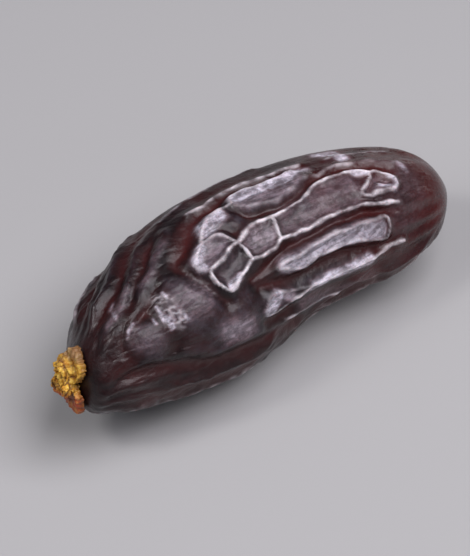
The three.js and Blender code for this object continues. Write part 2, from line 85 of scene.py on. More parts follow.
class Layer(Enum):
    """A layer of noise, by how far its pattern is moved so that no two layers agree."""

    HUSK_LUMPS = 2.0
    HUSK_FIBRES = 4.0
    SKIN_LINES = 5.0
    HUSK_SWELLS = 6.0
    SKIN_CRACKS = 7.0
    HUSK_GRAIN = 9.0
    HUSK_CRUMBS = 12.0
    HUSK_WARP = 13.0
    SKIN_SWELLS = 15.0
    CRACKLE_LINES = 19.0
    CRACKLE_BREAKS = 23.0
    SKIN_LINE_PATCHES = 31.0
    WANDER_ALONG = 41.0
    FINE_WANDER_ALONG = 43.0
    WANDER_AROUND = 57.0
    FINE_WANDER_AROUND = 59.0
    RIDGE_UNEVENNESS = 71.0
    CREST_VARIATION = 83.0
    CREST_BREAKS = 91.0


class Working(Enum):
    """How two values of a finish are worked together, by the name that the shader's node gives it."""

    TIMES = "MULTIPLY"
    MINUS = "SUBTRACT"


def fade(value: np.ndarray, start: float, end: float) -> np.ndarray:
    """Rises smoothly from 0 at start to 1 at end."""
    share = np.clip((value - start) / (end - start), 0.0, 1.0)
    return share * share * (3.0 - 2.0 * share)


def turn_between(first: np.ndarray, second: np.ndarray | float) -> np.ndarray:
    """The angle from second to first, from -pi to pi."""
    return np.arctan2(np.sin(first - second), np.cos(first - second))


def noise_at(points: np.ndarray, size: float, layer: Layer) -> np.ndarray:
    """Smooth noise over space.

    Args:
        points: Places, one row each.
        size: How far apart its swells are, in the places' own unit.
        layer: Which layer of noise it is.

    Returns:
        A value from about -1 to 1 for each place.
    """
    scaled = points.reshape(-1, 3) / size + layer.value
    values = [noise.noise(Vector(row)) for row in scaled]
    return np.array(values).reshape(points.shape[:-1])


def cell_edges(points: np.ndarray, size: float, layer: Layer) -> np.ndarray:
    """How far each place lies from the edge between two random cells.

    Args:
        points: Places, one row each.
        size: How large a cell is, in the places' own unit.
        layer: Which layer of noise it is.

    Returns:
        0 on an edge, and up to about 1 in a cell's middle, for each place.
    """
    scaled = points.reshape(-1, 3) / size + layer.value
    distances = np.array([noise.voronoi(Vector(row))[0][:2] for row in scaled])
    return (distances[:, 1] - distances[:, 0]).reshape(points.shape[:-1])


def seeded_random(seed: int) -> Callable[[], float]:
    """Makes a source of repeatable random numbers.

    Args:
        seed: The whole number that it starts from.

    Returns:
        A function that gives the next number, from 0 to 1.
    """
    multiplier, modulus = 16807, 2147483647
    state = seed

    def draw() -> float:
        """Draws the next number.

        Returns:
            The number, from 0 to 1.
        """
        nonlocal state
        state = (state * multiplier) % modulus
        return state / modulus

    return draw


def mesh_object(name: str, points: np.ndarray, faces: Iterable[Sequence[int]]) -> bpy.types.Object:
    """Makes a smooth-shaded mesh object.

    Args:
        name: The object's name.
        points: Its points in millimetres, one row each.
        faces: The point numbers of each face.

    Returns:
        The object, linked into the scene.
    """
    mesh = bpy.data.meshes.new(name)
    mesh.from_pydata((points * MM).tolist(), [], [list(face) for face in faces])
    mesh.validate()
    mesh.shade_smooth()
    piece = bpy.data.objects.new(name, mesh)
    bpy.context.scene.collection.objects.link(piece)
    return piece


def store_paint(mesh: bpy.types.Mesh, paint: Paint, values: np.ndarray) -> None:
    """Stores a painted value at each point of a mesh."""
    stored = mesh.attributes.new(paint.value, "FLOAT", "POINT")
    stored.data.foreach_set("value", values.astype(np.float32))


def tube_faces(rings: int, sides: int) -> Faces:
    """The faces of a closed surface whose points are one end, the rings in order, and the other end.

    Args:
        rings: How many rings there are.
        sides: How many points each ring has.

    Returns:
        The faces, facing out where the rings run away from the first end and turn as the fruit's angle does.
    """
    last = rings * sides + 1
    faces: Faces = []
    for side in range(sides):
        beside = (side + 1) % sides
        faces.append((0, 1 + beside, 1 + side))
        faces.append((last, last - sides + side, last - sides + beside))
        for ring in range(rings - 1):
            start = 1 + ring * sides
            faces.append((start + side, start + beside, start + sides + beside, start + sides + side))
    return faces


def plate_faces(rows: int, columns: int) -> Faces:
    """The faces of a closed plate: its points are a lower sheet, in rows and columns, and an upper one.

    Args:
        rows: How many rows of faces each sheet has.
        columns: How many columns of faces each sheet has.

    Returns:
        The faces, facing out where the columns turn left of the rows, seen from above.
    """
    wide = columns + 1
    upper = (rows + 1) * wide
    faces: Faces = []
    for row in range(rows):
        for column in range(columns):
            a = row * wide + column
            b, c, d = a + wide, a + wide + 1, a + 1
            faces += [(upper + a, upper + b, upper + c, upper + d), (a, d, c, b)]
    rim = [row * wide for row in range(rows + 1)]
    rim += [rows * wide + column for column in range(1, wide)]
    rim += [row * wide + columns for row in range(rows - 1, -1, -1)]
    rim += list(range(columns - 1, 0, -1))
    for a, b in zip(rim, rim[1:] + rim[:1]):
        faces.append((a, b, upper + b, upper + a))
    return faces


def keep_largest_shell(mesh: bpy.types.Mesh) -> None:
    """Deletes the small shells of a mesh, such as a pocket that fusing closed off inside it.

    Args:
        mesh: The mesh, which is changed.
    """
    shape = bmesh.new()
    shape.from_mesh(mesh)
    left = set(shape.verts)
    shells = []
    while left:
        shell = set()
        reached = [left.pop()]
        while reached:
            vertex = reached.pop()
            shell.add(vertex)
            beside = {edge.other_vert(vertex) for edge in vertex.link_edges} & left
            left -= beside
            reached.extend(beside)
        shells.append(shell)
    shells.sort(key=len)
    for shell in shells[:-1]:
        bmesh.ops.delete(shape, geom=list(shell), context="VERTS")
    shape.to_mesh(mesh)
    shape.free()


@dataclass(frozen=True)
class Mottle:
    """A noise pattern in a finish.

    Its swells are size millimetres apart. It has detail finer layers, which are as strong as rough says. Its
    values within span are spread over shown, and are held there beyond it. It is distorted by warp, and its
    swells are stretch times longer along the fruit.
    """

    size: float
    detail: float = 4.0
    rough: float = 0.55
    span: Span = (0.3, 0.7)
    shown: Span = (0.0, 1.0)
    warp: float = 0.0
    stretch: float = 1.0


class MaterialGraph:
    """A procedural material under construction, with short ways to add its nodes."""

    def __init__(self, name: str) -> None:
        """Starts a material that holds one principled shader.

        Args:
            name: The material's name.
        """
        self.material = bpy.data.materials.new(name)
        self.material.use_nodes = True
        self.tree = self.material.node_tree
        self.shader = self.tree.nodes["Principled BSDF"]
        self.place = self.tree.nodes.new("ShaderNodeTexCoord").outputs["Object"]

    def link(self, source: Socket, target: Socket) -> None:
        """Joins an output to an input."""
        self.tree.links.new(source, target)

    def drive(self, name: str, source: Socket) -> None:
        """Joins an output to the shader's input of that name."""
        self.link(source, self.shader.inputs[name])

    def fix(self, values: dict[str, float | Point]) -> None:
        """Sets the shader's own values, by name, that are the same all over the surface."""
        for name, value in values.items():
            self.shader.inputs[name].default_value = value

    def noise(self, mottle: Mottle) -> Socket:
        """A noise pattern's value.

        Args:
            mottle: The pattern.

        Returns:
            The output that holds the value, from 0 to 1, before it is spread.
        """
        drawn_out = self.tree.nodes.new("ShaderNodeVectorMath")
        drawn_out.operation = "MULTIPLY"
        drawn_out.inputs[1].default_value = (1.0 / mottle.stretch, 1.0, 1.0)
        self.link(self.place, drawn_out.inputs[0])
        node = self.tree.nodes.new("ShaderNodeTexNoise")
        node.inputs["Scale"].default_value = 1.0 / (mottle.size * MM)
        node.inputs["Detail"].default_value = mottle.detail
        node.inputs["Roughness"].default_value = mottle.rough
        node.inputs["Distortion"].default_value = mottle.warp
        self.link(drawn_out.outputs["Vector"], node.inputs["Vector"])
        return node.outputs["Fac"]

    def mottled(self, mottle: Mottle) -> Socket:
        """A noise pattern's value, spread over what it shows."""
        return self.between(self.noise(mottle), mottle.span, mottle.shown)

    def cells(self, size: float) -> Socket:
        """The distance to the edge between random cells.

        Args:
            size: How large a cell is, in millimetres.

        Returns:
            The output that holds the distance, as a share of the size.
        """
        node = self.tree.nodes.new("ShaderNodeTexVoronoi")
        node.feature = "DISTANCE_TO_EDGE"
        node.inputs["Scale"].default_value = 1.0 / (size * MM)
        self.link(self.place, node.inputs["Vector"])
        return node.outputs["Distance"]

    def painted(self, paint: Paint) -> Socket:
        """A value that the mesh stores at each point.

        Args:
            paint: Which value it is.

        Returns:
            The output that holds the value.
        """
        node = self.tree.nodes.new("ShaderNodeAttribute")
        node.attribute_name = paint.value
        return node.outputs["Fac"]

    def between(self, value: Socket, span: Span, shown: Span) -> Socket:
        """Maps a value from one range to another, and holds it there.

        Args:
            value: The value to map.
            span: The two inputs between which it changes.
            shown: The outputs that the two inputs give.

        Returns:
            The output that holds the mapped value.
        """
        node = self.tree.nodes.new("ShaderNodeMapRange")
        node.interpolation_type = "SMOOTHSTEP"
        for name, number in zip(("From Min", "From Max", "To Min", "To Max"), (*span, *shown)):
            node.inputs[name].default_value = number
        self.link(value, node.inputs["Value"])
        return node.outputs["Result"]

    def combine(self, first: Socket, working: Working, second: Socket | float) -> Socket:
        """Works two values together.

        Args:
            first: The first value.
            working: How they are worked together.
            second: The second value, an output or a number.

        Returns:
            The output that holds the result.
        """
        node = self.tree.nodes.new("ShaderNodeMath")
        node.operation = working.value
        self.link(first, node.inputs[0])
        if isinstance(second, float):
            node.inputs[1].default_value = second
        else:
            self.link(second, node.inputs[1])
        return node.outputs["Value"]

    def mix(self, share: Socket, low: Colour | Socket, high: Colour | Socket) -> Socket:
        """Mixes two colours.

        Args:
            share: How much of the second colour shows, from 0 to 1.
            low: The first colour, three numbers or an output.
            high: The second colour, three numbers or an output.

        Returns:
            The output that holds the mixed colour.
        """
        node = self.tree.nodes.new("ShaderNodeMix")
        node.data_type = "RGBA"
        self.link(share, node.inputs["Factor"])
        for socket, colour in ((node.inputs[6], low), (node.inputs[7], high)):
            if isinstance(colour, tuple):
                socket.default_value = (*colour, 1.0)
            else:
                self.link(colour, socket)
        return node.outputs[2]

    def tint(self, under: Socket, paint: Paint, strength: Socket | float, over: Colour | Socket) -> Socket:
        """Lays a colour over the one beneath, as much as a painted value times a strength says."""
        return self.mix(self.combine(self.painted(paint), Working.TIMES, strength), under, over)

    def bump(self, height: Socket, depth: float, under: Socket | None = None) -> Socket:
        """Roughens the surface.

        Args:
            height: The value that the surface rises with.
            depth: How far it rises, in millimetres.
            under: A bump that lies under this one.

        Returns:
            The output that holds the bent normal.
        """
        node = self.tree.nodes.new("ShaderNodeBump")
        node.inputs["Strength"].default_value = 1.0
        node.inputs["Distance"].default_value = depth * MM
        self.link(height, node.inputs["Height"])
        if under is not None:
            self.link(under, node.inputs["Normal"])
        return node.outputs["Normal"]


@dataclass(frozen=True)
class Glow:
    """How light wanders inside a surface: how much of it does, and how far its red, green and blue reach."""

    share: float
    reach: Point

    def values(self) -> dict[str, float | Point]:
        """The shader's values, by name."""
        reach = tuple(MM * part for part in self.reach)
        return {"Subsurface Weight": self.share, "Subsurface Radius": reach, "Subsurface Scale": 1.0}


@dataclass(frozen=True)
class SkinFinish:
    """The fruit's nearly black satin skin: red in its channels and at the tip, lavender where it stands out
    as bloom with painted sheen, pale in bands of dust and painted highlights, and pale on its crests as worn
    skin with painted highlights.
    """

    black: Colour = (0.0085, 0.0036, 0.0042)
    maroon: Colour = (0.028, 0.0074, 0.0078)
    red: Colour = (0.090, 0.016, 0.015)
    lavender: Colour = (0.050, 0.036, 0.046)
    faint_dust_and_highlight: Colour = (0.80, 0.58, 0.66)
    dust_and_highlights: Colour = (0.80, 0.73, 0.83)
    crest: Colour = (0.92, 0.84, 0.88)
    ripeness: Mottle = Mottle(3.8, 5.0, 0.62, (0.36, 0.66), (0.0, 1.0), 0.5)
    tip_red: Mottle = Mottle(6.0, 4.0, 0.55, (0.3, 0.7), (0.15, 0.85))
    channel_red: float = 0.5
    bloom_and_sheen: Mottle = Mottle(1.1, 6.0, 0.7, (0.38, 0.66), (0.1, 0.9))
    patches: Mottle = Mottle(0.8, 6.0, 0.7, (0.38, 0.6), (0.42, 1.0))
    streaks: Mottle = Mottle(0.5, 5.0, 0.65, (0.38, 0.6), (0.4, 1.0), 0.4, 4.5)
    dust_and_highlight_span: Span = (0.1, 0.6)
    wear_and_glint: Mottle = Mottle(1.5, 5.0, 0.65, (0.34, 0.64), (0.3, 1.0))
    satin: Mottle = Mottle(1.8, 5.0, 0.6, (0.3, 0.7), (0.30, 0.46))
    tip_gloss: float = 0.14
    crest_gloss: float = 0.10
    coat: float = 0.14
    coat_roughness: float = 0.16
    refraction: float = 1.39
    glow: Glow = Glow(0.1, (1.4, 0.3, 0.2))
    pores: Mottle = Mottle(0.3, 6.0, 0.62)
    pore_depth: float = 0.055
    cell_size: float = 0.7
    cell_depth: float = 0.03

    def build(self) -> bpy.types.Material:
        """Makes the material.

        Returns:
            The material, which reads the skin's painted values.
        """
        graph = MaterialGraph("date_skin")
        ripe = graph.mix(graph.mottled(self.ripeness), self.black, self.maroon)
        ripe = graph.tint(ripe, Paint.TOWARD_TIP, graph.mottled(self.tip_red), self.red)
        ripe = graph.tint(ripe, Paint.CHANNEL, self.channel_red, self.red)
        # Lavender on what stands out: partly wax bloom, partly painted sheen
        ripe = graph.tint(ripe, Paint.RAISED, graph.mottled(self.bloom_and_sheen), self.lavender)
        patchy = graph.combine(graph.mottled(self.patches), Working.TIMES, graph.mottled(self.streaks))
        heavy_dust_and_highlight = graph.between(graph.painted(Paint.DUST_AND_HIGHLIGHT), self.dust_and_highlight_span, (0.0, 1.0))
        # Pale dust and painted highlights and sheen, laid on in bands
        ripe = graph.tint(ripe, Paint.DUST_AND_HIGHLIGHT, patchy, graph.mix(heavy_dust_and_highlight, self.faint_dust_and_highlight, self.dust_and_highlights))
        # Pale crests: partly worn, dry skin, partly a painted highlight along each crest
        ripe = graph.tint(ripe, Paint.PALE_CREST_AND_HIGHLIGHT, graph.mottled(self.wear_and_glint), self.crest)
        graph.drive("Base Color", ripe)
        satin = graph.mottled(self.satin)
        for paint, gloss in ((Paint.TOWARD_TIP, self.tip_gloss), (Paint.PALE_CREST_AND_HIGHLIGHT, self.crest_gloss)):
            glossier = graph.combine(graph.painted(paint), Working.TIMES, gloss)
            satin = graph.combine(satin, Working.MINUS, glossier)
        graph.drive("Roughness", satin)
        graph.fix({"Coat Weight": self.coat, "Coat Roughness": self.coat_roughness, "IOR": self.refraction})
        graph.fix(self.glow.values())
        pores = graph.bump(graph.noise(self.pores), self.pore_depth)
        graph.drive("Normal", graph.bump(graph.cells(self.cell_size), self.cell_depth, pores))
        return graph.material


@dataclass(frozen=True)
class CapFinish:
    """The cap's dry, crumbly husk: cream on its lumps, golden below, orange red at its lower tip, and painted
    shade in its hollows and near the fruit.
    """

    cream: Colour = (0.95, 0.61, 0.095)
    gold: Colour = (0.58, 0.235, 0.003)
    shade_brown: Colour = (0.15, 0.052, 0.005)
    rust: Colour = (0.36, 0.045, 0.012)
    tan: Colour = (0.28, 0.16, 0.085)
    grain: Mottle = Mottle(0.8, 6.0, 0.65, (0.38, 0.66), (0.0, 1.0), 0.6)
    tanned: float = 0.8
    blush: Mottle = Mottle(0.9, 4.0, 0.6, (0.38, 0.6), (0.65, 1.0))
    roughness: Span = (0.6, 0.38)
    coat: float = 0.1
    coat_roughness: float = 0.25
    glow: Glow = Glow(0.1, (0.5, 0.3, 0.1))
    cork: Mottle = Mottle(0.18, 5.0, 0.6)
    cork_depth: float = 0.06

    def build(self) -> bpy.types.Material:
        """Makes the material.

        Returns:
            The material, which reads the cap's painted values.
        """
        graph = MaterialGraph("date_cap_husk")
        grain = graph.mottled(self.grain)
        husk = graph.mix(grain, self.gold, self.cream)
        husk = graph.tint(husk, Paint.UPPER_LOBE, self.tanned, self.tan)
        husk = graph.tint(husk, Paint.LOWER_TIP, graph.mottled(self.blush), self.rust)
        # Painted shade: brown in the husk's hollows and low down where the cap meets the fruit
        husk = graph.mix(graph.painted(Paint.SHADED_HOLLOW), husk, self.shade_brown)
        graph.drive("Base Color", husk)
        graph.drive("Roughness", graph.between(grain, (0.0, 1.0), self.roughness))
        graph.fix({"Coat Weight": self.coat, "Coat Roughness": self.coat_roughness})
        graph.fix(self.glow.values())
        graph.drive("Normal", graph.bump(graph.noise(self.cork), self.cork_depth))
        return graph.material


@dataclass(frozen=True)
class FloorFinish:
    """A plain pale floor."""

    colour: Colour = (0.47, 0.465, 0.46)
    clouds: Mottle = Mottle(60.0, 2.0)
    clouded: float = 0.985
    roughness: float = 0.75

    def build(self) -> bpy.types.Material:
        """Makes the material.

        Returns:
            The material.
        """
        graph = MaterialGraph("pale_floor")
        darker = tuple(self.clouded * part for part in self.colour)
        graph.drive("Base Color", graph.mix(graph.noise(self.clouds), darker, self.colour))
        graph.fix({"Roughness": self.roughness})
        return graph.material


@dataclass(frozen=True)
class Swell:
    """A broad wave round the cross-section."""

    waves: int
    height: float
    turn: float
    start: float


@dataclass(frozen=True)
class FruitForm:
    """The fruit's form before it wrinkled."""

    length: float = 43.0
    stem_radius: float = 9.55
    tip_radius: float = 8.65
    thinning: Span = (0.25, 0.65)
    stem_bluntness: float = 0.92
    tip_bluntness: float = 0.78
    bend: float = 3.0
    tip_drop: float = 0.2
    stem_yaw: float = -24.0
    stem_rise: float = 14.0
    stem_out: float = 1.9
    stem_lift: float = 0.7
    stem_turn_reach: float = 0.16
    stem_middle_reach: float = 0.05
    height_share: float = 0.96
    dish_depth: float = 0.5
    dish_radius: float = 2.6
    nub_height: float = 0.4
    nub_radius: float = 1.5
    middle: Point = (1.636, -2.855, 8.68)
    hollow_depth: float = 1.5
    hollow_share: float = 0.62
    hollow_reach: float = 0.17
    hollow_around: float = 112.0
    hollow_spread: float = 46.0
    swells: tuple[Swell, ...] = (
        Swell(2, 0.2, 0.5, 0.6),
        Swell(3, 0.17, -0.4, 1.9),
        Swell(5, 0.12, 0.7, 4.1),
    )
    swells_rise: Span = (0.0, 0.12)
    swells_fall: Span = (0.88, 1.0)
    normal_step: float = 0.01

    def share_at(self, station: np.ndarray) -> np.ndarray:
        """How much of the length lies before a station, from 0 to 1."""
        return (1.0 - np.cos(station)) / 2.0

    def station_at(self, along: float) -> float:
        """The station that lies a distance along from the stem end."""
        return math.acos(1.0 - 2.0 * along / self.length)

    def reach_at(self, station: np.ndarray | float) -> np.ndarray:
        """How far along the laid-out skin a station lies."""
        return np.asarray(station) * self.length / 2.0

    def laid_out(self, along: float, around: float) -> Place:
        """A place in millimetres along and degrees around, as its reach and its angle in radians."""
        return float(self.reach_at(self.station_at(along))), math.radians(around)

    def radius_at(self, station: np.ndarray) -> np.ndarray:
        """The fruit's plain radius.

        Args:
            station: Stations.

        Returns:
            The radius at each of them.
        """
        share = self.share_at(station)
        girth = self.stem_radius + (self.tip_radius - self.stem_radius) * fade(share, *self.thinning)
        bluntness = self.stem_bluntness + (self.tip_bluntness - self.stem_bluntness) * share
        return girth * np.sin(station) ** bluntness

    def slope_at(self, share: np.ndarray | float) -> np.ndarray | float:
        """How steeply the bend, which is a parabola, leads aside at each share of the length."""
        return self.bend * (4.0 - 8.0 * share) / self.length

    def turned_at(self, share: np.ndarray) -> np.ndarray:
        """How much of the stem end's turn reaches each share of the length."""
        return np.exp(-((share / self.stem_turn_reach) ** 3))

    def directions_at(self, share: np.ndarray | float) -> tuple[np.ndarray, np.ndarray, np.ndarray]:
        """The directions of the cross-section at each share of the length.

        Args:
            share: Shares of the length, from 0 to 1.

        Returns:
            Unit directions along the fruit, to its side and up, each with a last dimension of three.
        """
        share = np.asarray(share, float)
        turned = self.turned_at(share)
        heading = np.arctan(self.slope_at(share)) + turned * math.radians(self.stem_yaw)
        dip = turned * math.radians(self.stem_rise)
        ahead, aside = np.cos(heading), np.sin(heading)
        forward = np.stack([ahead * np.cos(dip), aside * np.cos(dip), -np.sin(dip)], -1)
        side = np.stack([-aside, ahead, np.zeros_like(ahead)], -1)
        return forward, side, np.cross(forward, side)

    def axis_point(self, share: np.ndarray | float) -> np.ndarray:
        """The axis's place at each share of the length.

        Args:
            share: Shares of the length, from 0 to 1.

        Returns:
            The places, with a last dimension of three.
        """
        share = np.asarray(share, float)
        along = self.length * share
        aside = self.bend * (1.0 - (2.0 * share - 1.0) ** 2)
        plain = np.stack([along - self.length / 2.0, aside, self.tip_drop * (0.5 - share)], -1)
        start = np.array([1.0, self.slope_at(0.0), -self.tip_drop / self.length])
        forward = self.directions_at(0.0)[0]
        turned = along * np.exp(-((share / self.stem_middle_reach) ** 3))
        stem = self.turned_at(share)[..., None]
        moved = turned[..., None] * (forward - start) - self.stem_out * stem * forward
        moved = moved + np.array([0.0, 0.0, self.stem_lift]) * stem
        return plain + moved + np.array(self.middle)

    def swell_at(self, station: np.ndarray, around: np.ndarray) -> np.ndarray:
        """How far the skin stands out from the plain radius.

        Args:
            station: The station of each place.
            around: The angle of each place.

        Returns:
            The distance at each place.
        """
        share = self.share_at(station)
        height = sum(s.height * np.sin(s.waves * around + s.turn * station + s.start) for s in self.swells)
        along = (share - self.hollow_share) / self.hollow_reach
        aside = turn_between(around, math.radians(self.hollow_around)) / math.radians(self.hollow_spread)
        hollow = self.hollow_depth * np.exp(-(along**2) - aside**2)
        return height * fade(share, *self.swells_rise) * (1.0 - fade(share, *self.swells_fall)) - hollow

    def plain_skin(self, station: np.ndarray, around: np.ndarray) -> np.ndarray:
        """The smooth skin's places.

        Args:
            station: The station of each place.
            around: The angle of each place.

        Returns:
            The places, with a last dimension of three.
        """
        share = self.share_at(station)
        radius = self.radius_at(station)
        wide = radius + self.swell_at(station, around)
        dish = self.dish_depth * np.exp(-((radius / self.dish_radius) ** 2)) * (1.0 - share)
        nub = self.nub_height * np.exp(-((radius / self.nub_radius) ** 2)) * share
        forward, side, up = self.directions_at(share)
        skin = self.axis_point(share) + forward * (dish + nub)[..., None]
        skin = skin - side * (np.sin(around) * wide)[..., None]
        return skin + up * (np.cos(around) * wide * self.height_share)[..., None]

    def plain_normal(self, station: np.ndarray, around: np.ndarray) -> np.ndarray:
        """The smooth skin's outward directions.

        Args:
            station: The station of each place.
            around: The angle of each place.

        Returns:
            Unit directions, with a last dimension of three.
        """
        step = self.normal_step
        here = np.clip(station, 2.0 * step, math.pi - 2.0 * step)
        forward = self.plain_skin(here + step, around) - self.plain_skin(here - step, around)
        sideways = self.plain_skin(here, around + step) - self.plain_skin(here, around - step)
        normal = np.cross(sideways, forward)
        return normal / np.linalg.norm(normal, axis=-1, keepdims=True)


@dataclass(frozen=True)
class Ridge:
    """A ridge of the raised net: its height, the places that it runs through, and how pale its crest is
    painted, as worn skin with a painted highlight.
    """

    height: float
    path: tuple[Place, ...]
    paleness: float = 1.0


@dataclass(frozen=True)
class Fold:
    """A broader fold: its height or depth, how far it stays flat, how wide its side is, and where it runs."""

    height: float
    flat: float
    width: float
    path: tuple[Place, ...]


@dataclass(frozen=True)
class DustAndHighlightBand:
    """A band of pale dust and painted highlight: its strength, how far it stays so, how wide its side is, and
    where it runs.
    """

    strength: float
    flat: float
    width: float
    path: tuple[Place, ...]


# The net on the side that shows best. A place is millimetres along from the stem end, and degrees around
# from the top
NET = (
    Ridge(0.6, ((13.2, 24), (15, 22), (16.7, 20), (17.5, 18.5), (18.8, 15), (20.4, 13), (22.4, 13.5))),
    Ridge(0.6, ((22.4, 13.5), (24.4, 13), (26.2, 11), (28.5, 6), (30.3, 3), (32.9, 1.5), (34.4, 8))),
    Ridge(0.6, ((13.2, 24), (13, 28), (13.1, 33), (13.9, 39.5), (15, 38.5), (16.4, 34), (17.8, 31))),
    Ridge(0.6, ((17.8, 31), (19.5, 33), (21, 32), (22, 29))),
    Ridge(0.58, (
        (22, 29), (23.9, 30), (26.2, 30), (28.3, 28), (31.3, 29), (33.5, 31), (35.2, 34), (36.2, 37),
    )),
    Ridge(0.52, ((17.5, 18.5), (17.9, 24), (17.8, 31))),
    Ridge(0.52, ((22.4, 13.5), (22.2, 21), (22, 29))),
    Ridge(0.5, (
        (34.4, 8), (34.4, 12), (33.8, 15.5), (33, 19), (32.9, 23), (33.8, 25), (35.2, 25.2),
        (36.3, 25.6), (36.9, 21.5), (36.9, 16), (36.6, 10.5), (35.9, 7), (35.1, 6.2), (34.4, 8),
    )),
    Ridge(0.48, (
        (13.2, 24), (12.5, 20), (12.4, 15), (13.4, 10), (14.8, 7), (16, 9.5), (17.1, 15.5), (17.5, 18.5),
    ), 0.7),
    Ridge(0.38, ((14.4, 7), (15, 3), (15.9, -2), (17, -5.5), (18.8, -7.5), (19.9, -8))),
    Ridge(0.42, ((20.1, -8), (20.3, -13), (21.4, -14.5), (23.2, -11.5), (25.5, -12), (27.5, -15))),
    Ridge(0.34, ((20.1, -8), (20.4, -4), (21.4, 1), (23.2, 4.5), (25, 3.5), (27, -1), (29.2, -5)), 0.3),
    Ridge(0.26, ((29.2, -5), (31.2, -8), (33, -9), (34.8, -7), (36.6, -4), (38, 1)), 0.7),
    Ridge(0.36, ((16, -20), (18.3, -21.5), (21.5, -23), (25.6, -21.5), (29, -23))),
    Ridge(0.26, ((14, -32), (18.2, -38), (21.8, -45), (25.5, -47))),
    Ridge(0.24, ((31.4, -20), (33.4, -22), (35.4, -21), (37.8, -25))),
    Ridge(0.44, (
        (20.2, 46), (20.8, 43), (22.8, 42.5), (25.2, 41), (27.2, 39), (29.2, 40.5), (31.9, 42),
        (34.5, 43.5),
    ), 0.6),
    Ridge(0.44, (
        (20.2, 46), (21.6, 48.5), (23.4, 51.5), (25.3, 49), (27.7, 50), (30, 50.5), (31.9, 56),
        (34.1, 63.5),
    ), 0.7),
    Ridge(0.4, ((34.5, 43.5), (34.8, 50), (34.6, 57), (34.1, 63.5))),
    Ridge(0.5, (
        (20.4, 69.5), (22, 70), (23.6, 68.5), (26.4, 71), (28.7, 72), (31, 73), (33.5, 74.5), (36, 73),
    )),
    Ridge(0.36, (
        (17, 67.5), (17.4, 62), (18.3, 57.5), (19.6, 59), (21.1, 63), (22.6, 66.5), (23.6, 68.5),
    ), 0.6),
    Ridge(0.34, ((17, 67.5), (17.6, 72), (19, 73), (20.4, 69.5))),
    Ridge(0.32, ((19.4, 84), (22.5, 90), (26, 97), (29.5, 103), (33, 106))),
)

